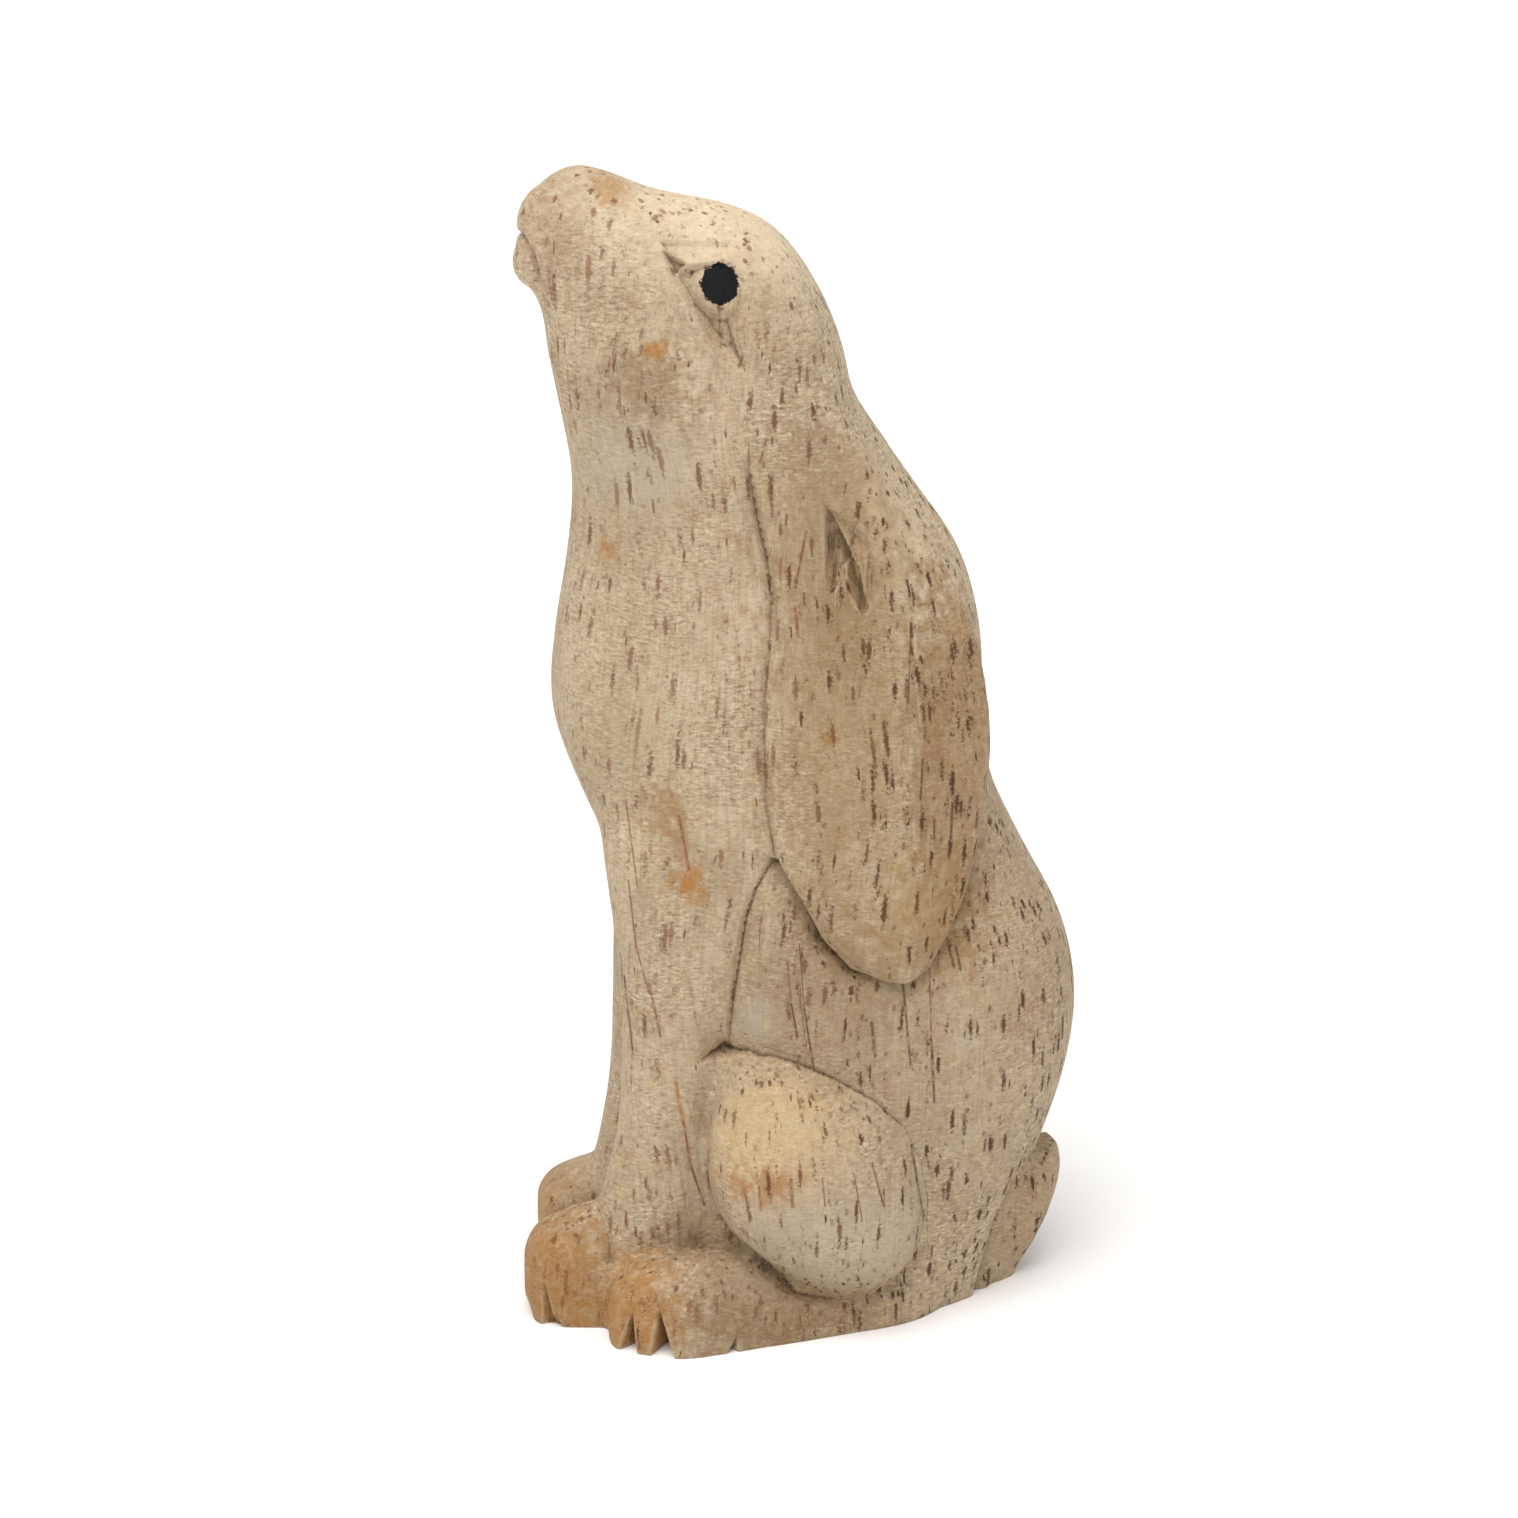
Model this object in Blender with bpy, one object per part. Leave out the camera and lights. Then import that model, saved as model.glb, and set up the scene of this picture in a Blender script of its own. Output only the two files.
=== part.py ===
"""Hare that sits up and looks at the sky, carved from one block of pale wood, modelled in Blender.

The figure faces -Y, its left side is +X, and its underside is centred on the plane Z = 0.
"""

import math

import bmesh
import bpy
import numpy as np
from mathutils import Matrix, Vector

# The figure's height sets every other size: its pose and carving are shares of it.
HEIGHT = 0.120
# One share of the height in 120. At this height a share is one millimetre.
SHARE = HEIGHT / 120
# Voxel that melts the rough masses into one, and how many triangles the finished solid has.
VOXEL = 0.8 * SHARE
TRIANGLES = 9700

X, Y, Z = range(3)


def clear_scene():
    for obj in list(bpy.data.objects):
        bpy.data.objects.remove(obj, do_unlink=True)


def smooth_rows(stations, steps=4):
    """More rows between the stations, on a smooth curve through all of them."""
    rows = np.array(stations, float)
    padded = np.vstack([2 * rows[0] - rows[1], rows, 2 * rows[-1] - rows[-2]])
    fine = []
    for before, start, end, after in zip(padded, padded[1:], padded[2:], padded[3:]):
        for t in np.arange(steps) / steps:
            bend = 2 * before - 5 * start + 4 * end - after
            twist = 3 * start - before - 3 * end + after
            fine.append(0.5 * (2 * start + (end - before) * t + bend * t**2 + twist * t**3))
    fine.append(rows[-1])
    return fine


def round_ring(middle, half, low, wide, high, power, count=32):
    """Closed outline that is `half` to each side at `wide`, and runs from `low` to `high`."""
    ring = []
    for k in range(count):
        angle = 2 * math.pi * k / count
        side, rise = math.cos(angle), math.sin(angle)
        reach = (abs(side) ** power + abs(rise) ** power) ** (-1 / power)
        depth = high - wide if rise > 0 else wide - low
        ring.append((middle + half * side * reach, wide + depth * rise * reach))
    return ring


def skin(bm, rings):
    """Skins a row of closed rings and closes both ends."""
    edges = []
    for ring in rings:
        made = bmesh.ops.create_circle(bm, segments=len(ring), radius=1)["verts"]
        for vert, place in zip(made, ring):
            vert.co = Vector(place) * SHARE
        edges.append(list({edge for vert in made for edge in vert.link_edges}))
    for near, far in zip(edges, edges[1:]):
        bmesh.ops.bridge_loops(bm, edges=near + far)
    bmesh.ops.holes_fill(bm, edges=edges[0] + edges[-1])


def loft(bm, axis, stations, side=1):
    """Mass through rings that stand across `axis`. A station is its level, middle, half width,
    low, widest and high place, and its power: 2 is an ellipse, more is squarer."""
    rings = []
    for level, middle, half, low, wide, high, power in smooth_rows(stations):
        ring = round_ring(side * middle, half, low, wide, high, power)
        rings.append([(a, level, b) if axis == Y else (a, b, level) for a, b in ring])
    skin(bm, rings)


def egg(bm, centre, radii, tilt=0.0):
    """Ellipsoid, tipped about the X axis."""
    size = Matrix.Diagonal((*radii, 1))
    place = Matrix.Translation(Vector(centre)) @ Matrix.Rotation(tilt, 4, "X") @ size
    made = bmesh.ops.create_icosphere(bm, subdivisions=4, radius=1, matrix=place)["verts"]
    bmesh.ops.scale(bm, vec=(SHARE,) * 3, verts=made)


def melted(bm, rounds, finer=0):
    """Mesh of all the masses in bm as one skin, softened by `rounds` and split finer after it."""
    bmesh.ops.recalc_face_normals(bm, faces=bm.faces)
    mesh = bpy.data.meshes.new("masses")
    bm.to_mesh(mesh)
    bm.free()
    obj = bpy.data.objects.new("masses", mesh)
    bpy.context.collection.objects.link(obj)
    remesh = obj.modifiers.new("Remesh", "REMESH")
    remesh.mode = "VOXEL"
    remesh.voxel_size = VOXEL
    smooth = obj.modifiers.new("Smooth", "SMOOTH")
    smooth.factor = 0.5
    smooth.iterations = rounds
    split = obj.modifiers.new("Subdivision", "SUBSURF")
    split.levels = split.render_levels = finer
    return applied(obj)


def applied(obj):
    """Evaluated mesh of an object, which is then removed."""
    graph = bpy.context.evaluated_depsgraph_get()
    mesh = bpy.data.meshes.new_from_object(obj.evaluated_get(graph))
    bpy.data.objects.remove(obj, do_unlink=True)
    return mesh


def trunk(bm):
    """Rump, belly, chest and neck, as level rings from below the underside up into the head."""
    loft(bm, Z, [
        (-6, 0, 13.2, -14, 2, 22.0, 2.1),
        (1, 0, 13.4, -14, 2, 22.2, 2.1),
        (8, 0, 14.0, -14, 3, 23.4, 2.2),
        (16, 0, 15.0, -13.5, 4, 26.2, 2.2),
        (24, 0, 15.8, -13.5, 5, 28.6, 2.2),
        (32, 0, 15.8, -14, 5, 29.5, 2.2),
        (40, 0, 15.2, -15.5, 4, 27.9, 2.2),
        (48, 0, 14.2, -18.4, 1, 23.8, 2.4),
        (56, 0, 13.4, -22.0, -1, 20.2, 2.6),
        (64, 0, 12.8, -24.6, -2, 19.4, 2.6),
        (72, 0, 12.2, -24.2, -3, 19.0, 2.5),
        (80, 0, 11.4, -22.9, -4, 16.8, 2.4),
        (88, 0, 10.7, -22.3, -5, 11.6, 2.3),
        (96, 0, 10.2, -23.6, -6, 6.3, 2.2),
        (101, 0, 9.4, -24.6, -7, 4.8, 2.2),
        (105, 0, 8.0, -25.0, -9, 3.6, 2.2),
        (110, 0, 5.0, -25.0, -12, -1, 2.2),
    ])


def head(bm):
    """Skull and muzzle, as upright rings from the nose back to the nape."""
    loft(bm, Y, [
        (-27.5, 0, 2.4, 111.4, 113.6, 115.4, 2.2),
        (-26.6, 0, 3.8, 108.6, 112.5, 117.0, 2.2),
        (-24.8, 0, 5.0, 105, 111, 118.5, 2.2),
        (-21.8, 0, 6.0, 97, 109.5, 120.2, 2.2),
        (-18, 0, 6.8, 91, 108, 119.2, 2.2),
        (-14, 0, 7.8, 87, 107, 117.4, 2.25),
        (-10, 0, 8.7, 84, 106, 116.5, 2.25),
        (-6, 0, 9.4, 82, 105, 115.5, 2.25),
        (-2, 0, 9.7, 82, 104, 113.4, 2.2),
        (1.2, 0, 9.0, 84, 102, 109.5, 2.1),
        (3.7, 0, 7.2, 87, 99, 104.8, 2.0),
        (5.4, 0, 4.2, 91, 96, 99.9, 2.0),
    ])


def belly(bm):
    """Wood left between the forelegs and the haunches."""
    egg(bm, (0, -4, 12), (13.2, 9.6, 24))


def forelegs(bm):
    """Straight forelegs. The right one bows a little further forward than the left."""
    for side, bow in ((1, 0.0), (-1, 0.8)):
        stations = [
            (-6, 8.8, 4.6, -24, -18, -10, 2.3),
            (3, 8.8, 4.8, -24, -18, -10, 2.3),
            (8, 8.9, 4.7, -22.0, -17, -9.5, 2.3),
            (13, 9.0, 4.6, -20.4, -15, -8.8, 2.3),
            (20, 9.0, 4.7, -18.6, -13.5, -8.4, 2.3),
            (28, 8.8, 5.0, -18.0, -12.5, -7.2, 2.3),
            (36, 8.2, 5.4, -18.1, -12, -5.8, 2.3),
            (44, 7.2, 6.0, -18.9, -11.5, -4, 2.3),
            (52, 6.0, 6.2, -19.8, -11, -2, 2.3),
            (60, 4.2, 5.6, -19.2, -11, -2, 2.3),
            (66, 3.0, 4.0, -18.0, -11, -4, 2.3),
        ]
        bowed = []
        for z, middle, half, front, wide, rear, power in stations:
            ahead = bow * (1 - min(1.8, ((z - 28) / 13) ** 2))
            bowed.append((z, middle, half, front - ahead, wide - ahead, rear, power))
        loft(bm, Z, bowed, side)


def ear_roots(bm):
    """Swelling where each ear grows out of the skull."""
    for side in (1, -1):
        egg(bm, (side * 6.8, 1.6, 90.5), (4.0, 5.6, 9.5), math.radians(24))


def forepaws(bm):
    """Blunt forepaws. The right one is lower and set further back than the left."""
    for side, rise, back in ((1, 1.0, 0.0), (-1, 0.78, 1.3)):
        loft(bm, Y, [
            (-28.2 + back, 8.4, 2.4, 1.8, 4.0, 6.4 * rise, 2.3),
            (-27.5 + back, 8.5, 3.7, 0.1, 3.6, 8.1 * rise, 2.4),
            (-26.4 + back, 8.6, 4.4, -6, 3.4, 9.4 * rise, 2.5),
            (-24.6 + back, 8.8, 4.9, -6, 3.0, 10.4 * rise, 2.5),
            (-22 + back, 8.9, 5.0, -6, 2.5, 11.5 * rise, 2.5),
            (-18, 9.0, 5.0, -6, 2.5, 11.8 * rise, 2.4),
            (-14, 9.0, 4.6, -6, 2.5, 11 * rise, 2.4),
        ], side)


# Outline of a folded thigh from the side, as (y, z).
THIGH = (
    (-6.8, 29.4), (-4.2, 30.5), (-0.9, 29.9), (3.2, 28.1), (7.3, 25.6), (10.4, 22.6),
    (12.2, 18.9), (13.0, 14.6), (12.8, 10.2), (11.2, 6.4), (7.9, 3.9), (3.6, 3.5),
    (-0.8, 5.1), (-4.4, 7.8), (-7.3, 10.9), (-8.9, 14.6), (-9.4, 18.6), (-9.1, 22.6),
    (-8.3, 26.4),
)


def haunches(bm):
    """Folded thighs: each keeps its outline out to the flank and rounds over beyond it."""
    outline = smooth_rows(THIGH[-2:] + THIGH + THIGH[:2], 2)[4:-4]
    middle = np.array((2.0, 16.8))
    for side in (1, -1):
        rings = []
        for out, size in smooth_rows((
            (4, 0.86), (10, 1.0), (13.2, 1.0), (15.3, 0.95), (17.2, 0.83), (18.5, 0.64),
            (19.2, 0.42), (19.5, 0.16),
        )):
            rings.append([(side * out, *(middle + (place - middle) * size)) for place in outline])
        skin(bm, rings)


def hind_feet(bm):
    for side in (1, -1):
        loft(bm, Y, [
            (-19.6, 15.2, 2.0, 1.0, 2.8, 4.6, 2.3),
            (-18.6, 15.3, 3.7, -6, 2, 6.6, 2.5),
            (-16, 15.6, 4.7, -6, 1.5, 8.2, 2.6),
            (-12, 16.2, 5.2, -6, 1.2, 9.0, 2.5),
            (-8, 15.3, 5.2, -6, 1.0, 9.0, 2.4),
            (-4, 14.2, 5.0, -6, 1.0, 8.0, 2.3),
            (0, 13.2, 4.8, -6, 1.0, 6.5, 2.3),
            (5, 11.4, 4.9, -6, 1.0, 5.5, 2.3),
            (10, 9.6, 5.0, -6, 1.0, 5.0, 2.3),
            (13, 8.2, 4.6, -6, 1.0, 4.5, 2.3),
            (15.6, 6.6, 3.4, -6, 1.0, 4.0, 2.3),
        ], side)


def tail(bm):
    loft(bm, Z, [
        (-6, 0, 4.6, 14, 19, 21.8, 2.3),
        (1, 0, 4.9, 15, 20, 24.0, 2.3),
        (5, 0, 4.9, 17, 22, 26.4, 2.3),
        (9, 0, 4.5, 19, 24.5, 27.8, 2.3),
        (12, 0, 3.8, 22, 26, 28.3, 2.3),
        (14.0, 0, 2.8, 24.4, 26.3, 28.0, 2.3),
    ])


def lower_lip(bm):
    """Small chin that stands out below the nose."""
    egg(bm, (0, -25.3, 110.3), (2.8, 2.6, 2.8), math.radians(-10))


# Level cut through an ear: shares of the way from its front edge to its rear edge, and outwards.
EAR_CUT = (
    (0.00, 0.30), (0.03, 0.66), (0.16, 0.84), (0.36, 0.90), (0.56, 0.98), (0.72, 0.88),
    (0.88, 0.58), (0.98, 0.22), (0.96, -0.15), (0.78, -0.50), (0.48, -0.70), (0.16, -0.55),
)


def ears(bm):
    """Long lop ears that lie down the neck and flank, as level rings from root to tip."""
    stations = (
        (102, -4.8, 1.0, 9.2, 1.6),
        (97, -4.9, 4.4, 10.1, 2.6),
        (92, -4.6, 7.6, 11.1, 3.6),
        (87, -3.6, 11.1, 12.1, 4.6),
        (82, -2.8, 14.4, 13.1, 5.0),
        (76, -2.4, 17.4, 14.0, 5.2),
        (70, -2.5, 19.0, 14.8, 5.2),
        (63, -2.9, 19.7, 15.6, 5.0),
        (56, -2.7, 19.0, 16.4, 4.8),
        (51.5, -2.2, 18.2, 16.8, 4.4),
        (47.5, 0.2, 17.1, 16.9, 4.0),
        (44, 2.3, 15.5, 16.9, 3.6),
        (41, 5.4, 13.5, 16.7, 2.8),
        (39.0, 8.6, 12.2, 16.2, 1.6),
    )
    outline = smooth_rows(EAR_CUT[-2:] + EAR_CUT + EAR_CUT[:2], 3)[6:-6]
    for side in (1, -1):
        rings = []
        for z, front, rear, outer, thick in smooth_rows(stations):
            ring = [
                (side * (outer - thick * (1 - out)), front + (rear - front) * along, z)
                for along, out in outline
            ]
            rings.append(ring)
        skin(bm, rings)


def reach(places, path):
    """How far each place is from a path, on which hand of it, and the path's third value there."""
    far = np.full(len(places), np.inf)
    hand = np.zeros(len(places))
    value = np.zeros(len(places))
    for start, end in zip(path, path[1:]):
        start, end = np.array(start, float), np.array(end, float)
        run = end[:2] - start[:2]
        share = np.clip((places - start[:2]) @ run / (run @ run), 0, 1)
        gap = places - start[:2] - share[:, None] * run
        length = np.hypot(gap[:, 0], gap[:, 1])
        nearer = length < far
        far[nearer] = length[nearer]
        hand[nearer] = np.sign(run[0] * gap[:, 1] - run[1] * gap[:, 0])[nearer]
        value[nearer] = (start[2] + share * (end[2] - start[2]))[nearer]
    return far, hand, value


def within(places, outline):
    """How far each place is from a closed outline, the outline's third value, and if it is inside."""
    closed = [*outline, outline[0]]
    far, _, value = reach(places, closed)
    inside = np.zeros(len(places), bool)
    for (a0, b0, _), (a1, b1, _) in zip(closed, closed[1:]):
        if b0 == b1:
            continue
        spans = (places[:, 1] > min(b0, b1)) & (places[:, 1] <= max(b0, b1))
        inside ^= spans & (places[:, 0] < a0 + (places[:, 1] - b0) * (a1 - a0) / (b1 - b0))
    return far, value, inside


class Blank:
    """Skin of the roughed-out figure, seen flat along an axis and cut into by a knife.

    Left and right are cut alike. A path's point is its two flat places, (y, z) from the side and
    (x, z) from the front, and how deep the knife goes there.
    """

    def __init__(self, mesh):
        self.mesh = mesh
        self.start = self.read("vertices", "co") / SHARE
        self.normals = self.read("vertices", "normal")
        self.depth = np.zeros(len(self.start))

    def read(self, domain, name):
        items = getattr(self.mesh, domain)
        values = np.empty(len(items) * 3, np.float32)
        items.foreach_get(name, values)
        return values.reshape(-1, 3).astype(float)

    def seen(self, axis, out=(0, 99)):
        """Flat places along an axis, and how far the skin there faces the eye. Only skin whose
        distance from the middle plane is within `out` counts."""
        mirrored = self.start * 1.0
        mirrored[:, X] = abs(mirrored[:, X])
        flat = mirrored[:, [Y, Z]] if axis == X else mirrored[:, [X, Z]]
        outward = self.normals[:, X] * np.sign(self.start[:, X])
        facing = outward if axis == X else -self.normals[:, Y]
        counted = (mirrored[:, X] > out[0]) & (mirrored[:, X] < out[1])
        return flat, np.clip(3 * facing, 0, 1) * counted

    def score(self, axis, path, width, out=(0, 99)):
        """Cut along a path, with walls that ease into the skin."""
        flat, facing = self.seen(axis, out)
        far, _, depth = reach(flat, path)
        self.depth += facing * depth * np.clip(1 - far / width, 0, 1) ** 1.5

    def wedge(self, axis, tip, foot, half, depth, out=(0, 99)):
        """Three-cornered notch that widens and deepens from its tip to its foot."""
        flat, facing = self.seen(axis, out)
        tip, run = np.array(tip, float), np.array(foot, float) - tip
        share = (flat - tip) @ run / (run @ run)
        across = abs((flat - tip) @ np.array((-run[1], run[0]))) / np.hypot(*run)
        wall = np.clip(1 - across / np.maximum(half * share, 1e-3), 0, 1)
        self.depth += facing * depth * share * (share > 0) * (share < 1.1) * np.minimum(1.6 * wall, 1)

    def shelf(self, axis, path, width, hand, share=1.0):
        """Lowers one hand of a path, most at the path and not at all at `width` from it."""
        flat, facing = self.seen(axis)
        far, side, depth = reach(flat, path)
        self.depth += share * facing * depth * (side == hand) * np.clip(1 - far / width, 0, 1) ** 2

    def pocket(self, axis, outline, wall):
        """Hollow inside a closed outline, with walls that slope in over `wall`."""
        flat, facing = self.seen(axis)
        far, depth, inside = within(flat, outline)
        self.depth += facing * depth * inside * np.clip(far / wall, 0, 1)

    def socket(self, axis, outline, ball, swell, crown):
        """Hollow filled by a ball. Its sides fall in by the outline's third value for each unit
        of way, and the ball's front is `crown` deep."""
        flat, facing = self.seen(axis)
        far, slope, inside = within(flat, outline)
        front = crown + ((flat - ball) ** 2).sum(axis=1) / swell
        self.depth += facing * inside * np.minimum(slope * far, front)

    def dish(self, axis, centre, radii, depth):
        """Soft dip, or a soft swelling where the depth is negative."""
        flat, facing = self.seen(axis)
        share = np.hypot(*((flat - centre) / radii).T)
        self.depth += facing * depth * np.exp(-(share**2))

    def finish(self):
        places = (self.start - self.normals * self.depth[:, None]) * SHARE
        self.mesh.vertices.foreach_set("co", places.astype(np.float32).ravel())
        self.mesh.update()


def carve_face(blank):
    # Three-cornered socket under a slanting lid, deepest in its front corner, round an eyeball.
    blank.socket(X, [
        (-13.5, 113.6, 0.6), (-9.0, 113.9, 0.5), (-5.6, 113.4, 0.45), (-4.2, 111.4, 0.4),
        (-4.1, 108.0, 0.4), (-4.5, 104.5, 0.4), (-5.2, 102.2, 0.5), (-8.2, 104.6, 0.9),
        (-9.8, 106.8, 1.1), (-12.0, 109.6, 1.3), (-12.4, 111.0, 1.4),
    ], ball=(-7.7, 109.6), swell=8.0, crown=-0.1)
    # Mouth, from under the nose down beside the chin.
    blank.score(Y, [(0, 112.9, 1.1), (2.4, 113.3, 0.9)], width=0.7)
    blank.score(X, [
        (-27.2, 113.6, 0.9), (-26.1, 111.8, 1.0), (-25.4, 109.3, 0.8), (-24.6, 107.0, 0.5),
        (-24.2, 103.6, 0.1),
    ], width=0.8)
    blank.score(X, [(-24.9, 113.0, -0.3), (-24.3, 109.5, -0.35), (-23.6, 106.5, -0.15)], width=1.1)
    # Edge of the nose pad, and the split of the upper lip.
    blank.score(X, [(-21.8, 119.4, 0.2), (-25.0, 117.8, 0.4), (-26.5, 115.5, 0.25)], width=0.5)
    blank.score(Y, [(0, 113.0, 0.5), (0, 116.0, 0.3)], width=0.6)
    # Cheek, a little swollen.
    blank.dish(X, (-13.5, 100.5), (4.5, 5.0), -0.5)


def carve_ears(blank):
    # Cut that starts behind the eye and runs down the front edge of the ear.
    blank.score(X, [
        (-5.1, 102.0, 0.3), (-5.1, 99.0, 0.15), (-4.8, 94.5, 0.15), (-4.5, 91.0, 0.5),
        (-3.9, 87.0, 0.9), (-3.0, 82.5, 1.1), (-2.6, 78.5, 0.9), (-2.8, 73.5, 0.4),
    ], width=0.9)
    blank.score(X, [(-2.8, 75.0, 0.3), (-3.5, 67.0, 0.6), (-3.4, 58.0, 0.6), (-2.7, 51.4, 0.7)], 0.9)
    blank.shelf(X, [(-4.8, 96.0, 0.2), (-4.2, 89.0, 0.8), (-3.0, 82.5, 0.9), (-2.7, 75.0, 0.1)],
                width=4.0, hand=-1)
    blank.shelf(X, [(-5.2, 101.0, 0.1), (-5.0, 95.0, 0.4), (-4.4, 89.0, 0.5), (-3.0, 82.5, 0.4),
                    (-2.7, 76.0, 0.1)], width=2.5, hand=1)
    # The ear's lower half stands proud of the flank.
    blank.shelf(X, [
        (-2.7, 51.4, 1.0), (0.1, 47.4, 1.3), (2.1, 43.5, 1.4), (5.2, 40.3, 1.3),
        (10.7, 38.7, 1.0), (13.4, 40.3, 0.9), (15.4, 43.7, 0.8), (17.2, 49.2, 0.6),
        (18.4, 54.2, 0.3),
    ], width=2.4, hand=-1)
    # Two planes down the ear, broken along a fold.
    blank.score(X, [(9.2, 84.0, -0.2), (10.2, 78.9, -0.55), (10.6, 70.0, -0.55), (10.6, 62.0, -0.3),
                    (10.0, 54.0, 0.0)], width=3.0)
    blank.dish(X, (3.0, 62.0), (4.2, 14.0), 0.6)
    blank.dish(X, (14.6, 64.0), (2.4, 12.0), 0.4)
    # Ragged opening at the ear's top.
    blank.pocket(X, [
        (2.7, 88.4, 0.6), (2.8, 83.8, 2.1), (2.9, 79.0, 1.5), (4.5, 81.4, 1.7),
        (6.1, 77.0, 1.5), (7.4, 79.4, 1.5), (8.2, 83.2, 1.3), (7.0, 85.2, 2.3),
        (5.0, 86.2, 2.3),
    ], wall=0.5)
    # Rim of the opening, rolled back over the top of the ear.
    blank.score(X, [(4.2, 96.0, -0.1), (5.8, 92.6, -0.4), (7.6, 88.6, -0.8), (9.0, 84.5, -0.9),
                    (10.0, 80.0, -0.5)], 2.6)
    blank.dish(X, (4.2, 87.5), (3.0, 7.0), 0.5)
    blank.score(X, [(10.0, 90.2, 0.3), (13.2, 85.0, 0.5), (15.4, 79.6, 0.2)], 1.6)


def carve_limbs(blank):
    # Crease between foreleg and flank, down to a pit above the knee.
    crease = [
        (-2.9, 51.2, 0.4), (-4.4, 48.6, 0.6), (-5.5, 45.3, 0.7), (-6.2, 40.8, 0.7),
        (-6.8, 36.3, 0.6), (-7.2, 32.2, 0.6),
    ]
    blank.score(X, crease, width=0.9)
    blank.shelf(X, crease, width=6.0, hand=1, share=1.3)
    blank.score(X, [(-7.5, 31.4, 0.7), (-7.6, 30.5, 1.5)], width=0.8)
    # Cuts round the thigh, where it meets the flank, the foreleg and the foot.
    thigh = [
        (-8.2, 29.9, 1.0), (-5.4, 30.7, 0.5), (-2.4, 30.5, 0.45), (0.1, 29.8, 0.45),
        (3.4, 28.4, 0.4), (7.6, 25.9, 0.3), (10.8, 22.8, 0.2), (12.5, 19.0, 0.1),
    ]
    blank.score(X, thigh, width=0.7)
    blank.shelf(X, [*thigh, (13.4, 14.5, 0.3), (13.5, 8.0, 0.2)], width=3.4, hand=1)
    blank.score(X, [
        (-8.6, 26.4, 0.2), (-9.5, 22.6, 0.3), (-9.8, 18.0, 0.4), (-9.2, 14.2, 0.4),
        (-7.6, 10.5, 0.7), (-4.6, 7.4, 0.8), (-0.9, 4.7, 0.7), (3.0, 3.1, 0.5), (6.0, 2.8, 0.1),
    ], width=0.9)
    blank.shelf(X, [(-7.6, 10.5, 0.2), (-4.6, 7.4, 0.6), (-0.9, 4.7, 0.8), (3.0, 3.1, 0.8),
                    (7.0, 3.0, 0.4)], width=3.0, hand=-1)
    # Step behind the foreleg.
    blank.score(X, [(-12.6, 28.0, 0.1), (-11.6, 20.0, 0.2), (-10.4, 12.5, 0.2)], width=1.2)


def carve_toes(blank):
    # Wedges between the hind toes, and a nick behind the outer one.
    hind, fore = (13.6, 99), (0, 13.6)
    blank.wedge(X, (-15.2, 7.4), (-14.2, -0.4), half=1.1, depth=2.6, out=hind)
    blank.wedge(X, (-18.2, 6.0), (-17.2, -0.4), half=0.8, depth=1.8, out=hind)
    blank.wedge(X, (-6.2, 2.2), (-6.6, -0.6), half=0.8, depth=1.3, out=hind)
    # Forepaws: the outer toe, its undercut sole, and the gap between the front toes.
    blank.wedge(X, (-27.3, 8.0), (-25.6, -0.5), half=0.8, depth=1.5, out=fore)
    blank.score(X, [(-24.6, 0.2, 1.0), (-22.0, 0.9, 1.3), (-19.6, 0.6, 1.2)], 1.5, fore)
    blank.score(X, [(-20.4, 12.0, 0.1), (-19.4, 9.0, 0.5), (-19.2, 5.0, 0.8)], 0.9, fore)
    blank.wedge(Y, (7.3, 8.0), (7.0, -0.5), half=0.8, depth=1.3)


def carve_tail(blank):
    blank.score(X, [(25.4, 14.8, 0.6), (23.1, 12.2, 0.9), (21.4, 8.5, 1.0), (19.4, 0, 1.1)], 0.7)


def carved_hare():
    """Mesh of the whole figure, before it is cut flat below."""
    soft = bmesh.new()
    for mass in (trunk, belly, head, forelegs, ear_roots):
        mass(soft)
    body = melted(soft, 30)
    crisp = bmesh.new()
    for mass in (lower_lip, forepaws, hind_feet, haunches, tail, ears):
        mass(crisp)
    crisp.from_mesh(body)
    blank = Blank(melted(crisp, 3, finer=1))
    for carve in (carve_face, carve_ears, carve_limbs, carve_toes, carve_tail):
        carve(blank)
    blank.finish()
    return blank.mesh


def drop_pockets(bm):
    """Keeps only the outer skin, without any pocket sealed in between the masses."""
    front = [max(bm.verts, key=lambda vert: vert.co.z)]
    outer = set(front)
    while front:
        near = [edge.other_vert(vert) for vert in front for edge in vert.link_edges]
        front = list(set(near) - outer)
        outer.update(front)
    inner = [vert for vert in bm.verts if vert not in outer]
    bmesh.ops.delete(bm, geom=inner, context="VERTS")


def stand(mesh):
    """Cuts the figure off level at the underside, and centres it over the origin."""
    bm = bmesh.new()
    bm.from_mesh(mesh)
    drop_pockets(bm)
    geometry = bm.verts[:] + bm.edges[:] + bm.faces[:]
    found = bmesh.ops.bisect_plane(
        bm, geom=geometry, plane_co=(0, 0, 0), plane_no=(0, 0, 1), clear_inner=True
    )
    rim = [item for item in found["geom_cut"] if isinstance(item, bmesh.types.BMEdge)]
    bmesh.ops.holes_fill(bm, edges=rim)
    bmesh.ops.triangulate(bm, faces=bm.faces)
    lengthways = [vert.co.y for vert in bm.verts]
    middle = (min(lengthways) + max(lengthways)) / 2
    bmesh.ops.translate(bm, vec=(0, -middle, 0), verts=bm.verts)
    bm.to_mesh(mesh)
    bm.free()


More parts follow.
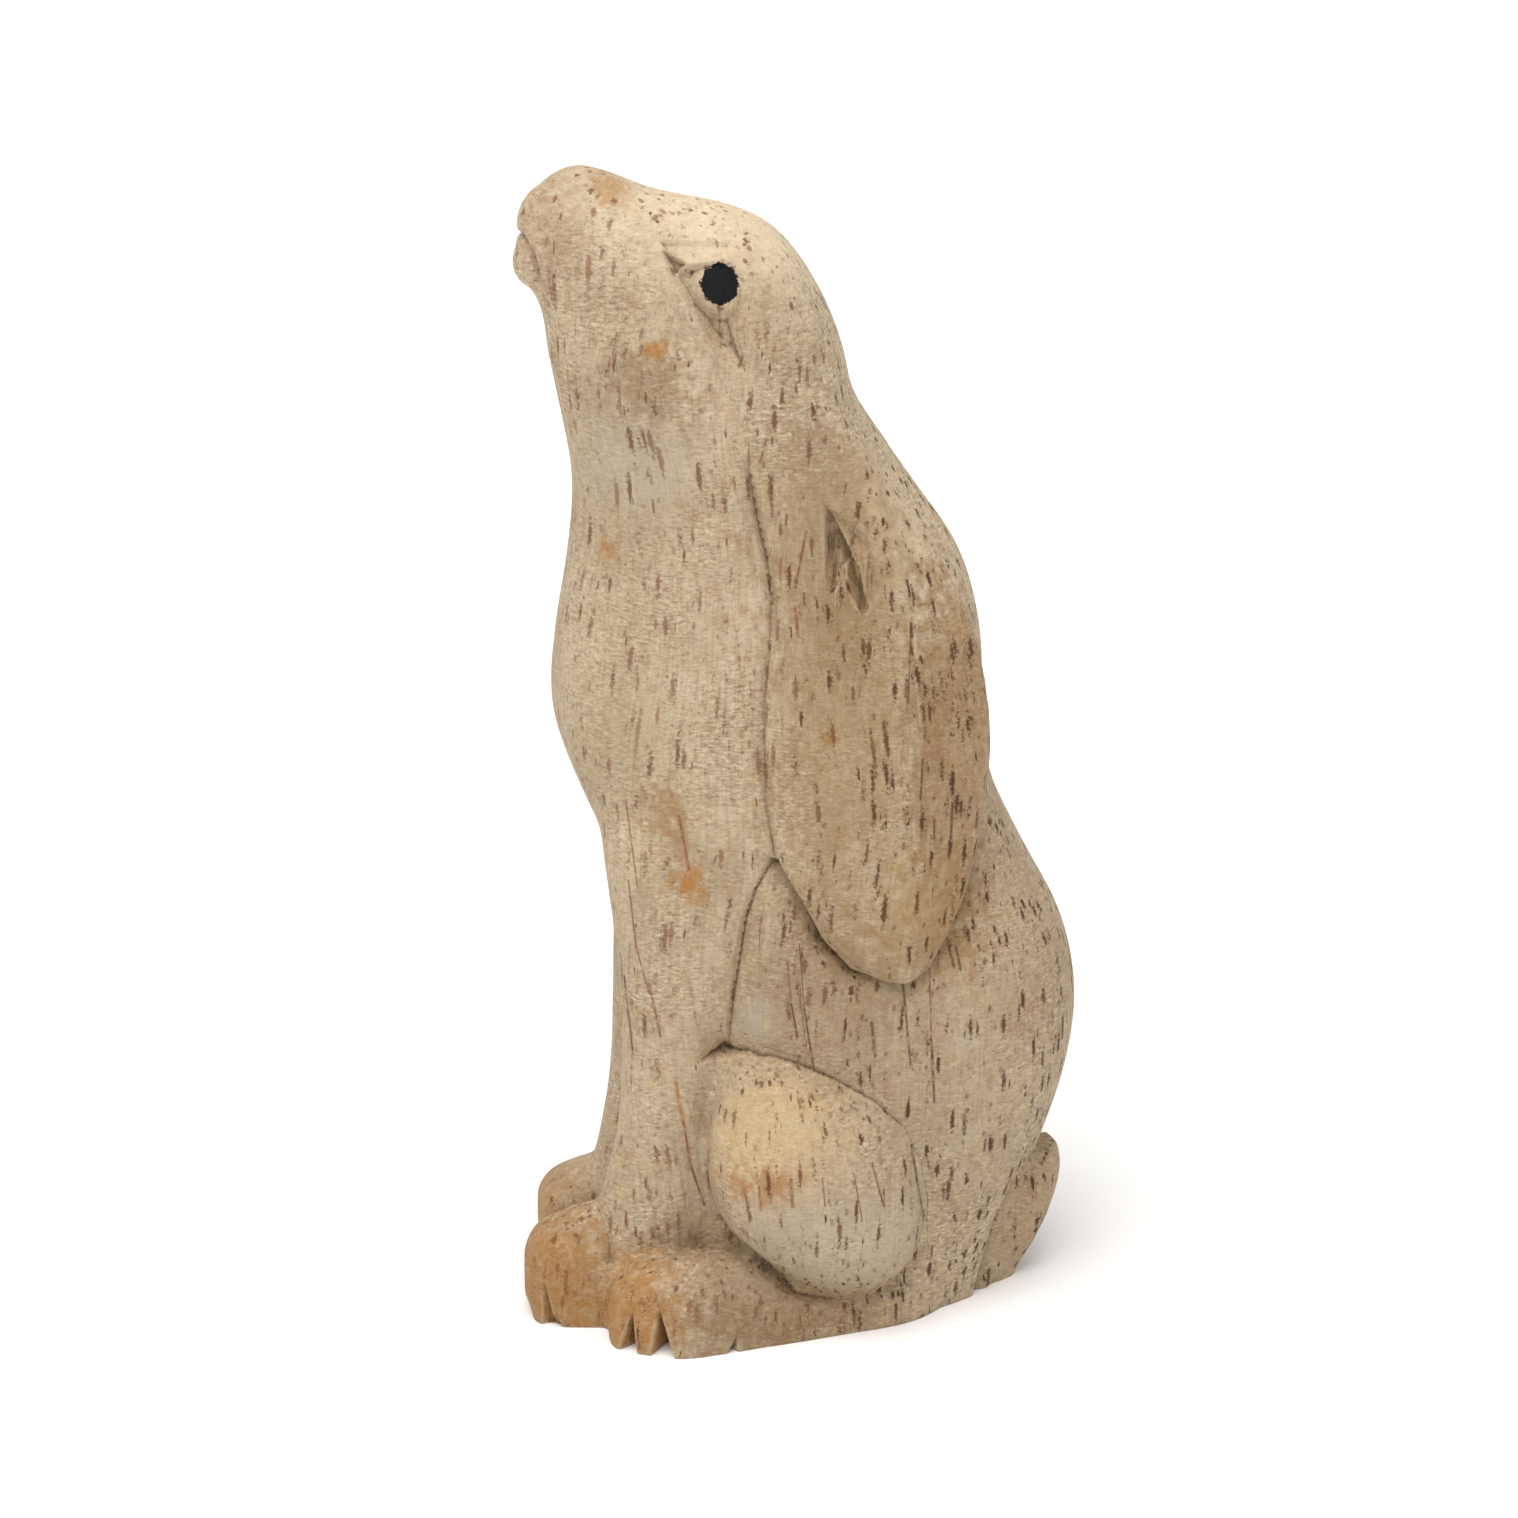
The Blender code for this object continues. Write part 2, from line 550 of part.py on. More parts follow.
def pale_wood():
    material = bpy.data.materials.new("pale wood")
    material.use_nodes = True
    shader = material.node_tree.nodes["Principled BSDF"]
    shader.inputs["Base Color"].default_value = (0.46, 0.33, 0.20, 1)
    shader.inputs["Roughness"].default_value = 0.62
    shader.inputs["Metallic"].default_value = 0
    return material


clear_scene()
figure = carved_hare()
stand(figure)
hare = bpy.data.objects.new("hare", figure)
bpy.context.collection.objects.link(hare)
thin = hare.modifiers.new("Decimate", "DECIMATE")
thin.ratio = TRIANGLES / len(figure.polygons)
hare.data.materials.append(pale_wood())
hare.data.shade_smooth()
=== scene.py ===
import math

import bmesh
import bpy
import numpy as np
from mathutils import Matrix, Vector
from mathutils.noise import fractal


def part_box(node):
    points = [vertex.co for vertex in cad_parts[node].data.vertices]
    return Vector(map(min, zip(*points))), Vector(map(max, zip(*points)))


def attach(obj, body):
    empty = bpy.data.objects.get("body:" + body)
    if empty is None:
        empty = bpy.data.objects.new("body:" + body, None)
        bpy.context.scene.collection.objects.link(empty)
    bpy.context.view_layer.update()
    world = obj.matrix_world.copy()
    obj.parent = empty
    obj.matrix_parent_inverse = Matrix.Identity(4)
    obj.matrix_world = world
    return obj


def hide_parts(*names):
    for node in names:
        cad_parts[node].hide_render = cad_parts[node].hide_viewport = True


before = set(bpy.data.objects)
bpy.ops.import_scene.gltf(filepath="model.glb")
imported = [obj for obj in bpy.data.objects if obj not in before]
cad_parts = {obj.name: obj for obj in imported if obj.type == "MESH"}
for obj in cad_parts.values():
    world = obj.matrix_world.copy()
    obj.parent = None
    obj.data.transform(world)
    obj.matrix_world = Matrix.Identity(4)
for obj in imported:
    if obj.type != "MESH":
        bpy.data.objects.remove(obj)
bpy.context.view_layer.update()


# Hare
# A small figure of a hare that sits up and looks at the sky, carved from one block of pale
# open-pored wood. It is rasped to its rough masses, cut with a knife at every crease, toe and
# eye, and sanded, and it stands on its own level underside.

# Places and sizes on the figure are in millimetres.
MM = 0.001
X, Y, Z = 0, 1, 2
MOST_TRIANGLES = 190000
EYEBALL = (-7.6, 109.4)
PUPIL = (0, -8.15, 109.8)
PUPIL_RADIUS = 1.9


def smooth_rows(stations, steps=6):
    """More rows between the stations, on a smooth curve through all of them."""
    rows = np.array(stations, float)
    padded = np.vstack([2 * rows[0] - rows[1], rows, 2 * rows[-1] - rows[-2]])
    fine = []
    for before, start, end, after in zip(padded, padded[1:], padded[2:], padded[3:]):
        for t in np.arange(steps) / steps:
            bend = 2 * before - 5 * start + 4 * end - after
            twist = 3 * start - before - 3 * end + after
            fine.append(0.5 * (2 * start + (end - before) * t + bend * t**2 + twist * t**3))
    fine.append(rows[-1])
    return fine


def smooth_outline(points, steps):
    """Closed outline on a smooth curve through all of the points."""
    return smooth_rows(points[-2:] + points + points[:2], steps)[2 * steps:-2 * steps]


def round_ring(middle, half, low, wide, high, power, count=64):
    """Closed outline that is `half` to each side at `wide`, and runs from `low` to `high`."""
    ring = []
    for k in range(count):
        angle = 2 * math.pi * k / count
        side, rise = math.cos(angle), math.sin(angle)
        reach = (abs(side) ** power + abs(rise) ** power) ** (-1 / power)
        depth = high - wide if rise > 0 else wide - low
        ring.append((middle + half * side * reach, wide + depth * rise * reach))
    return ring


def skin(bm, rings):
    """Skins a row of closed rings and closes both ends."""
    edges = []
    for ring in rings:
        made = bmesh.ops.create_circle(bm, segments=len(ring), radius=1)["verts"]
        for vert, place in zip(made, ring):
            vert.co = Vector(place) * MM
        edges.append(list({edge for vert in made for edge in vert.link_edges}))
    for near, far in zip(edges, edges[1:]):
        bmesh.ops.bridge_loops(bm, edges=near + far)
    bmesh.ops.holes_fill(bm, edges=edges[0] + edges[-1])


def loft(bm, axis, stations, side=1):
    """Mass through rings that stand across `axis`. A station is its level, middle, half width,
    low, widest and high place, and its power: 2 is an ellipse, more is squarer."""
    rings = []
    for level, middle, half, low, wide, high, power in smooth_rows(stations):
        ring = round_ring(side * middle, half, low, wide, high, power)
        rings.append([(a, level, b) if axis == Y else (a, b, level) for a, b in ring])
    skin(bm, rings)


def egg(bm, centre, radii, tilt=0.0):
    """Ellipsoid, tipped about the X axis."""
    size = Matrix.Diagonal((*radii, 1))
    place = Matrix.Translation(Vector(centre)) @ Matrix.Rotation(tilt, 4, "X") @ size
    made = bmesh.ops.create_icosphere(bm, subdivisions=5, radius=1, matrix=place)["verts"]
    bmesh.ops.scale(bm, vec=(MM,) * 3, verts=made)


def drop_pockets(mesh):
    """Keeps only the outer skin, without any pocket sealed in between the masses."""
    bm = bmesh.new()
    bm.from_mesh(mesh)
    front = [max(bm.verts, key=lambda vert: vert.co.z)]
    outer = set(front)
    while front:
        near = [edge.other_vert(vert) for vert in front for edge in vert.link_edges]
        front = list(set(near) - outer)
        outer.update(front)
    inner = [vert for vert in bm.verts if vert not in outer]
    bmesh.ops.delete(bm, geom=inner, context="VERTS")
    bm.to_mesh(mesh)
    bm.free()


def applied(mesh, modifiers):
    """The mesh with these modifiers applied, each given as its type and its settings."""
    obj = bpy.data.objects.new("blank", mesh)
    bpy.context.collection.objects.link(obj)
    for kind, settings in modifiers:
        modifier = obj.modifiers.new(kind, kind)
        for name, value in settings.items():
            setattr(modifier, name, value)
    graph = bpy.context.evaluated_depsgraph_get()
    made = bpy.data.meshes.new_from_object(obj.evaluated_get(graph))
    bpy.data.objects.remove(obj, do_unlink=True)
    return made


def melted(bm, voxel, rounds):
    """Mesh of all the masses in bm as one skin, softened by `rounds`."""
    bmesh.ops.recalc_face_normals(bm, faces=bm.faces)
    mesh = bpy.data.meshes.new("masses")
    bm.to_mesh(mesh)
    bm.free()
    return applied(mesh, [
        ("REMESH", {"mode": "VOXEL", "voxel_size": voxel * MM}),
        ("SMOOTH", {"factor": 0.5, "iterations": rounds}),
    ])


def trunk(bm):
    """Rump, belly, chest and neck, as level rings from below the underside up into the head."""
    loft(bm, Z, [
        (-6, 0, 13.2, -14, 2, 22.0, 2.1),
        (1, 0, 13.4, -14, 2, 22.2, 2.1),
        (8, 0, 14.0, -14, 3, 23.4, 2.2),
        (16, 0, 15.0, -13.5, 4, 26.2, 2.2),
        (24, 0, 15.8, -13.5, 5, 28.6, 2.2),
        (32, 0, 15.8, -14, 5, 29.5, 2.2),
        (40, 0, 15.2, -15.5, 4, 27.9, 2.2),
        (48, 0, 14.2, -18.4, 1, 23.8, 2.4),
        (56, 0, 13.4, -22.0, -1, 20.2, 2.6),
        (64, 0, 12.8, -24.6, -2, 19.4, 2.6),
        (72, 0, 12.2, -24.2, -3, 19.0, 2.5),
        (80, 0, 11.4, -22.9, -4, 16.8, 2.4),
        (88, 0, 10.7, -22.3, -5, 11.6, 2.3),
        (96, 0, 10.2, -23.6, -6, 6.3, 2.2),
        (101, 0, 9.4, -24.6, -7, 4.8, 2.2),
        (105, 0, 8.0, -25.0, -9, 3.6, 2.2),
        (110, 0, 5.0, -25.0, -12, -1, 2.2),
    ])


def head(bm):
    """Skull and muzzle, as upright rings from the nose back to the nape."""
    loft(bm, Y, [
        (-27.5, 0, 2.4, 111.4, 113.6, 115.4, 2.2),
        (-26.6, 0, 3.8, 108.6, 112.5, 117.0, 2.2),
        (-24.8, 0, 5.0, 105, 111, 118.5, 2.2),
        (-21.8, 0, 6.0, 97, 109.5, 120.2, 2.2),
        (-18, 0, 6.8, 91, 108, 119.2, 2.2),
        (-14, 0, 7.8, 87, 107, 117.4, 2.25),
        (-10, 0, 8.7, 84, 106, 116.5, 2.25),
        (-6, 0, 9.4, 82, 105, 115.5, 2.25),
        (-2, 0, 9.7, 82, 104, 113.4, 2.2),
        (1.2, 0, 9.0, 84, 102, 109.5, 2.1),
        (3.7, 0, 7.2, 87, 99, 104.8, 2.0),
        (5.4, 0, 4.2, 91, 96, 99.9, 2.0),
    ])


def belly(bm):
    """Wood left between the forelegs and the haunches."""
    egg(bm, (0, -4, 12), (13.2, 9.6, 24))


def forelegs(bm):
    """Straight forelegs. The right one bows a little further forward than the left."""
    for side, bow in ((1, 0.0), (-1, 0.8)):
        stations = [
            (-6, 8.8, 4.6, -24, -18, -10, 2.3),
            (3, 8.8, 4.8, -24, -18, -10, 2.3),
            (8, 8.9, 4.7, -22.0, -17, -9.5, 2.3),
            (13, 9.0, 4.6, -20.4, -15, -8.8, 2.3),
            (20, 9.0, 4.7, -18.6, -13.5, -8.4, 2.3),
            (28, 8.8, 5.0, -18.0, -12.5, -7.2, 2.3),
            (36, 8.2, 5.4, -18.1, -12, -5.8, 2.3),
            (44, 7.2, 6.0, -18.9, -11.5, -4, 2.3),
            (52, 6.0, 6.2, -19.8, -11, -2, 2.3),
            (60, 4.2, 5.6, -19.2, -11, -2, 2.3),
            (66, 3.0, 4.0, -18.0, -11, -4, 2.3),
        ]
        bowed = []
        for z, middle, half, front, wide, rear, power in stations:
            ahead = bow * (1 - min(1.8, ((z - 28) / 13) ** 2))
            bowed.append((z, middle, half, front - ahead, wide - ahead, rear, power))
        loft(bm, Z, bowed, side)


def ear_roots(bm):
    """Swelling where each ear grows out of the skull."""
    for side in (1, -1):
        egg(bm, (side * 6.8, 1.6, 90.5), (4.0, 5.6, 9.5), math.radians(24))


def forepaws(bm):
    """Blunt forepaws. The right one is lower and set further back than the left."""
    for side, rise, back in ((1, 1.0, 0.0), (-1, 0.78, 1.3)):
        loft(bm, Y, [
            (-28.2 + back, 8.4, 2.4, 1.8, 4.0, 6.4 * rise, 2.3),
            (-27.5 + back, 8.5, 3.7, 0.1, 3.6, 8.1 * rise, 2.4),
            (-26.4 + back, 8.6, 4.4, -6, 3.4, 9.4 * rise, 2.5),
            (-24.6 + back, 8.8, 4.9, -6, 3.0, 10.4 * rise, 2.5),
            (-22 + back, 8.9, 5.0, -6, 2.5, 11.5 * rise, 2.5),
            (-18, 9.0, 5.0, -6, 2.5, 11.8 * rise, 2.4),
            (-14, 9.0, 4.6, -6, 2.5, 11 * rise, 2.4),
        ], side)


# Outline of a folded thigh from the side, as (y, z).
THIGH = (
    (-6.8, 29.4), (-4.2, 30.5), (-0.9, 29.9), (3.2, 28.1), (7.3, 25.6), (10.4, 22.6),
    (12.2, 18.9), (13.0, 14.6), (12.8, 10.2), (11.2, 6.4), (7.9, 3.9), (3.6, 3.5),
    (-0.8, 5.1), (-4.4, 7.8), (-7.3, 10.9), (-8.9, 14.6), (-9.4, 18.6), (-9.1, 22.6),
    (-8.3, 26.4),
)


def haunches(bm):
    """Folded thighs: each keeps its outline out to the flank and rounds over beyond it."""
    outline = smooth_outline(THIGH, 4)
    middle = np.array((2.0, 16.8))
    for side in (1, -1):
        rings = []
        for out, size in smooth_rows((
            (4, 0.86), (10, 1.0), (13.2, 1.0), (15.3, 0.95), (17.2, 0.83), (18.5, 0.64),
            (19.2, 0.42), (19.5, 0.16),
        )):
            rings.append([(side * out, *(middle + (place - middle) * size)) for place in outline])
        skin(bm, rings)


def hind_feet(bm):
    """Long flat hind feet, from the toes back to the heel."""
    for side in (1, -1):
        loft(bm, Y, [
            (-19.6, 15.2, 2.0, 1.0, 2.8, 4.6, 2.3),
            (-18.6, 15.3, 3.7, -6, 2, 6.6, 2.5),
            (-16, 15.6, 4.7, -6, 1.5, 8.2, 2.6),
            (-12, 16.2, 5.2, -6, 1.2, 9.0, 2.5),
            (-8, 15.3, 5.2, -6, 1.0, 9.0, 2.4),
            (-4, 14.2, 5.0, -6, 1.0, 8.0, 2.3),
            (0, 13.2, 4.8, -6, 1.0, 6.5, 2.3),
            (5, 11.4, 4.9, -6, 1.0, 5.5, 2.3),
            (10, 9.6, 5.0, -6, 1.0, 5.0, 2.3),
            (13, 8.2, 4.6, -6, 1.0, 4.5, 2.3),
            (15.6, 6.6, 3.4, -6, 1.0, 4.0, 2.3),
        ], side)


def tail(bm):
    """Short tail that stands up against the rump."""
    loft(bm, Z, [
        (-6, 0, 4.6, 14, 19, 21.8, 2.3),
        (1, 0, 4.9, 15, 20, 24.0, 2.3),
        (5, 0, 4.9, 17, 22, 26.4, 2.3),
        (9, 0, 4.5, 19, 24.5, 27.8, 2.3),
        (12, 0, 3.8, 22, 26, 28.3, 2.3),
        (14.0, 0, 2.8, 24.4, 26.3, 28.0, 2.3),
    ])


def lower_lip(bm):
    """Small chin that stands out below the nose."""
    egg(bm, (0, -25.3, 110.3), (2.8, 2.6, 2.8), math.radians(-10))


# Level cut through an ear: shares of the way from its front edge to its rear edge, and outwards.
EAR_CUT = (
    (0.00, 0.30), (0.03, 0.66), (0.16, 0.84), (0.36, 0.90), (0.56, 0.98), (0.72, 0.88),
    (0.88, 0.58), (0.98, 0.22), (0.96, -0.15), (0.78, -0.50), (0.48, -0.70), (0.16, -0.55),
)


def ears(bm):
    """Long lop ears that lie down the neck and flank, as level rings from root to tip."""
    stations = (
        (102, -4.8, 1.0, 9.2, 1.6),
        (97, -4.9, 4.4, 10.1, 2.6),
        (92, -4.6, 7.6, 11.1, 3.6),
        (87, -3.6, 11.1, 12.1, 4.6),
        (82, -2.8, 14.4, 13.1, 5.0),
        (76, -2.4, 17.4, 14.0, 5.2),
        (70, -2.5, 19.0, 14.8, 5.2),
        (63, -2.9, 19.7, 15.6, 5.0),
        (56, -2.7, 19.0, 16.4, 4.8),
        (51.5, -2.2, 18.2, 16.8, 4.4),
        (47.5, 0.2, 17.1, 16.9, 4.0),
        (44, 2.3, 15.5, 16.9, 3.6),
        (41, 5.4, 13.5, 16.7, 2.8),
        (39.0, 8.6, 12.2, 16.2, 1.6),
    )
    outline = smooth_outline(EAR_CUT, 5)
    for side in (1, -1):
        rings = []
        for z, front, rear, outer, thick in smooth_rows(stations):
            ring = [
                (side * (outer - thick * (1 - out)), front + (rear - front) * along, z)
                for along, out in outline
            ]
            rings.append(ring)
        skin(bm, rings)


def reach(places, path):
    """How far each place is from a path, on which hand of it, and the path's third value there."""
    far = np.full(len(places), np.inf)
    hand = np.zeros(len(places))
    value = np.zeros(len(places))
    for start, end in zip(path, path[1:]):
        start, end = np.array(start, float), np.array(end, float)
        run = end[:2] - start[:2]
        share = np.clip((places - start[:2]) @ run / (run @ run), 0, 1)
        gap = places - start[:2] - share[:, None] * run
        length = np.hypot(gap[:, 0], gap[:, 1])
        nearer = length < far
        far[nearer] = length[nearer]
        hand[nearer] = np.sign(run[0] * gap[:, 1] - run[1] * gap[:, 0])[nearer]
        value[nearer] = (start[2] + share * (end[2] - start[2]))[nearer]
    return far, hand, value


def within(places, outline):
    """How far each place is from a closed outline, the outline's third value there, and if the
    place is inside."""
    closed = [*outline, outline[0]]
    far, _, value = reach(places, closed)
    inside = np.zeros(len(places), bool)
    for (a0, b0, _), (a1, b1, _) in zip(closed, closed[1:]):
        if b0 == b1:
            continue
        spans = (places[:, 1] > min(b0, b1)) & (places[:, 1] <= max(b0, b1))
        inside ^= spans & (places[:, 0] < a0 + (places[:, 1] - b0) * (a1 - a0) / (b1 - b0))
    return far, value, inside


class Blank:
    """Skin of the roughed-out figure, seen flat along an axis and cut into by a knife.

    Left and right are cut alike. A path's point is its two flat places, (y, z) from the side and
    (x, z) from the front, and how deep the knife goes there.
    """

    def __init__(self, mesh):
        self.mesh = mesh
        self.start = self.read("co") / MM
        self.normals = self.read("normal")
        self.depth = np.zeros(len(self.start))

    def read(self, name):
        """Place or normal of every vertex, one row each."""
        values = np.empty(len(self.mesh.vertices) * 3, np.float32)
        self.mesh.vertices.foreach_get(name, values)
        return values.reshape(-1, 3).astype(float)

    def seen(self, axis, out=(0, 99)):
        """Flat places along an axis, and how far the skin there faces the eye. Only skin whose
        distance from the middle plane is within `out` counts."""
        mirrored = self.start * 1.0
        mirrored[:, X] = abs(mirrored[:, X])
        flat = mirrored[:, [Y, Z]] if axis == X else mirrored[:, [X, Z]]
        outward = self.normals[:, X] * np.sign(self.start[:, X])
        facing = outward if axis == X else -self.normals[:, Y]
        counted = (mirrored[:, X] > out[0]) & (mirrored[:, X] < out[1])
        return flat, np.clip(3 * facing, 0, 1) * counted

    def score(self, axis, path, width, out=(0, 99)):
        """Cut along a path, with walls that ease into the skin."""
        flat, facing = self.seen(axis, out)
        far, _, depth = reach(flat, path)
        self.depth += facing * depth * np.clip(1 - far / width, 0, 1) ** 1.5

    def wedge(self, axis, tip, foot, half, depth, out=(0, 99)):
        """Three-cornered notch that widens and deepens from its tip to its foot."""
        flat, facing = self.seen(axis, out)
        tip, run = np.array(tip, float), np.array(foot, float) - tip
        share = (flat - tip) @ run / (run @ run)
        across = abs((flat - tip) @ np.array((-run[1], run[0]))) / np.hypot(*run)
        wall = np.clip(1 - across / np.maximum(half * share, 1e-3), 0, 1)
        notch = share * (share > 0) * (share < 1.1) * np.minimum(1.6 * wall, 1)
        self.depth += facing * depth * notch

    def shelf(self, axis, path, width, hand, share=1.0):
        """Lowers one hand of a path, most at the path and not at all at `width` from it."""
        flat, facing = self.seen(axis)
        far, side, depth = reach(flat, path)
        self.depth += share * facing * depth * (side == hand) * np.clip(1 - far / width, 0, 1) ** 2

    def pocket(self, axis, outline, wall):
        """Hollow inside a closed outline, with walls that slope in over `wall`."""
        flat, facing = self.seen(axis)
        far, depth, inside = within(flat, outline)
        self.depth += facing * depth * inside * np.clip(far / wall, 0, 1)

    def socket(self, axis, outline, ball, swell, crown, floor):
        """Hollow filled by a ball. Its sides fall in by the outline's third value for each unit
        of way, the ball's front is `crown` deep, and round the ball it is `floor` deep."""
        flat, facing = self.seen(axis)
        far, slope, inside = within(flat, outline)
        front = np.minimum(crown + ((flat - ball) ** 2).sum(axis=1) / swell, floor)
        self.depth += facing * inside * np.minimum(slope * far, front)

    def dish(self, axis, centre, radii, depth):
        """Soft dip, or a soft swelling where the depth is negative."""
        flat, facing = self.seen(axis)
        share = np.hypot(*((flat - centre) / radii).T)
        self.depth += facing * depth * np.exp(-(share**2))

    def finish(self):
        """Moves the skin in along its normals, by the depth that was cut."""
        places = (self.start - self.normals * self.depth[:, None]) * MM
        self.mesh.vertices.foreach_set("co", places.astype(np.float32).ravel())
        self.mesh.update()


def carve_face(blank):
    """Eyes, mouth, nose and cheeks."""
    # Flat lid, a three-cornered socket under it, and the dark pit in the socket's front corner.
    blank.pocket(X, [
        (-13.5, 113.9, 0.45), (-6.4, 113.7, 0.4), (-6.6, 112.2, 0.3), (-10.7, 111.8, 0.5),
        (-12.3, 111.2, 0.5),
    ], wall=0.3)
    blank.socket(X, [
        (-12.6, 111.4, 1.8), (-10.7, 112.0, 1.6), (-6.4, 112.5, 1.2), (-4.9, 111.0, 0.5),
        (-4.6, 108.0, 0.5), (-4.7, 104.5, 0.6), (-5.0, 101.2, 0.8), (-6.6, 102.2, 1.3),
        (-8.8, 104.6, 1.8), (-10.0, 106.8, 1.8), (-12.2, 109.8, 1.8),
    ], ball=EYEBALL, swell=7.0, crown=-0.1, floor=1.4)
    blank.pocket(X, [(-13.3, 113.2, 1.0), (-10.6, 111.9, 1.1), (-12.2, 110.5, 1.1)], wall=0.35)
    # Short upright knife strokes in the hollow below the ball, and its sharp front edge.
    for along in (-8.0, -7.1, -6.3, -5.6):
        blank.score(X, [(along, 107.0, 0.1), (along + 0.5, 103.6, 0.2)], width=0.3)
    blank.score(X, [(-11.4, 107.9, -0.15), (-9.2, 104.2, -0.35), (-6.4, 101.2, -0.3),
                    (-5.2, 99.8, -0.1)], width=0.8)
    # Mouth, from under the nose down beside the chin.
    blank.score(Y, [(0, 112.9, 1.1), (2.4, 113.3, 0.9)], width=0.7)
    blank.score(X, [
        (-27.2, 113.6, 0.9), (-26.1, 111.8, 1.0), (-25.4, 109.3, 0.8), (-24.6, 107.0, 0.5),
        (-24.2, 103.6, 0.1),
    ], width=0.8)
    blank.score(X, [(-24.9, 113.0, -0.3), (-24.3, 109.5, -0.35), (-23.6, 106.5, -0.15)], width=1.1)
    # Edge of the nose pad, and the split of the upper lip.
    blank.score(X, [(-21.8, 119.4, 0.2), (-25.0, 117.8, 0.4), (-26.5, 115.5, 0.25)], width=0.5)
    blank.score(Y, [(0, 113.0, 0.5), (0, 116.0, 0.3)], width=0.6)
    # Cheek, a little swollen, with the knife's short stroke beside the muzzle.
    blank.dish(X, (-13.5, 100.5), (4.5, 5.0), -0.5)
    blank.score(X, [(-22.6, 111.0, 0.1), (-22.4, 108.4, 0.3), (-22.0, 105.6, 0.1)], width=0.6)


def carve_ears(blank):
    """Edges, planes and torn openings of the ears, and the neck's fall towards them."""
    # Cut that starts behind the eye and runs down the front edge of the ear. The neck falls in
    # towards it, and the ear's own edge stays nearly level.
    edge = (
        (-5.1, 102.0), (-5.1, 99.0), (-4.8, 94.5), (-4.6, 91.0), (-3.9, 87.0), (-3.0, 82.5),
        (-2.6, 78.5), (-2.8, 73.5), (-3.5, 67.0), (-3.4, 58.0), (-2.7, 51.4),
    )
    cut = (0.2, 0.05, 0.05, 0.25, 0.45, 0.5, 0.45, 0.3, 0.35, 0.35, 0.5)
    blank.score(X, [(*spot, deep) for spot, deep in zip(edge, cut)], width=0.6)
    fall = (0.0, 0.0, 0.1, 0.5, 1.0, 1.1, 0.6, 0.1)
    blank.shelf(X, [(*spot, deep) for spot, deep in zip(edge, fall)], width=3.2, hand=-1)
    blank.shelf(X, [(*spot, 0.3 * deep) for spot, deep in zip(edge, fall)], width=2.5, hand=1)
    blank.score(X, [(-5.6, 90.0, 0.05), (-4.6, 84.5, 0.2), (-3.9, 79.0, 0.05)], width=0.5)
    # The ear's lower half stands proud of the flank, undercut along its front edge.
    blank.shelf(X, [
        (-2.7, 51.4, 1.0), (0.1, 47.4, 1.3), (2.1, 43.5, 1.4), (5.2, 40.3, 1.3),
        (10.7, 38.7, 1.0), (13.4, 40.3, 0.9), (15.4, 43.7, 0.8), (17.2, 49.2, 0.6),
        (18.4, 54.2, 0.3),
    ], width=2.4, hand=-1)
    blank.score(X, [(-2.7, 51.6, 0.6), (0.0, 47.2, 0.8), (2.0, 43.3, 0.8), (5.2, 40.0, 0.7),
                    (9.6, 38.5, 0.2)], width=0.55)
    blank.score(X, [(0.8, 44.6, 0.1), (2.4, 42.4, 0.4), (4.8, 41.6, 0.1)], width=0.35)
    # Two planes down the ear, broken along a fold, and its thin rear edge.
    blank.score(X, [(9.2, 84.0, -0.2), (10.2, 78.9, -0.55), (10.6, 70.0, -0.55), (10.6, 62.0, -0.3),
                    (10.0, 54.0, 0.0)], width=3.0)
    blank.dish(X, (3.0, 62.0), (4.2, 14.0), 0.6)
    blank.dish(X, (14.6, 64.0), (2.4, 12.0), 0.4)
    blank.score(X, [
        (12.4, 40.2, -0.15), (14.8, 43.9, -0.3), (16.6, 49.2, -0.3), (17.9, 54.6, -0.1),
    ], width=0.6)
    # Ragged opening at the ear's top, torn along the fibres.
    blank.pocket(X, [
        (2.4, 88.6, 0.6), (2.6, 83.8, 1.9), (2.9, 79.0, 1.1), (4.4, 80.6, 1.0),
        (6.3, 77.0, 1.3), (7.5, 79.4, 0.7), (8.2, 83.2, 0.4), (6.6, 85.6, 0.8),
        (4.6, 87.2, 0.8),
    ], wall=0.8)
    for slit in (
        ((2.9, 87.2, 0.3), (3.1, 83.8, 0.8), (3.1, 80.4, 0.5)),
        ((3.8, 85.3, 0.4), (5.1, 82.1, 1.0), (6.4, 78.3, 0.6)),
    ):
        blank.score(X, slit, width=0.7)
    splinters, gap = 9, 0.55
    for k in range(splinters):
        along = 3.1 + gap * k
        lean = 0.5 * math.sin(5.3 * k)
        rise = 1.4 * math.sin(2.1 * k + 1)
        blank.score(X, [(along, 85.0 + rise, -0.1), (along + lean, 81.5, -0.4),
                        (along + 1.4 * lean, 78.6 + rise, -0.1)], width=0.28)
    # Rim of the opening, rolled back over the top of the ear.
    blank.score(X, [(4.2, 96.0, -0.1), (5.8, 92.6, -0.4), (7.6, 88.6, -0.8), (9.0, 84.5, -0.9),
                    (10.0, 80.0, -0.5)], width=2.6)
    blank.dish(X, (4.2, 87.5), (3.0, 7.0), 0.5)
    blank.score(X, [(10.0, 90.2, 0.3), (13.2, 85.0, 0.5), (15.4, 79.6, 0.2)], width=1.6)


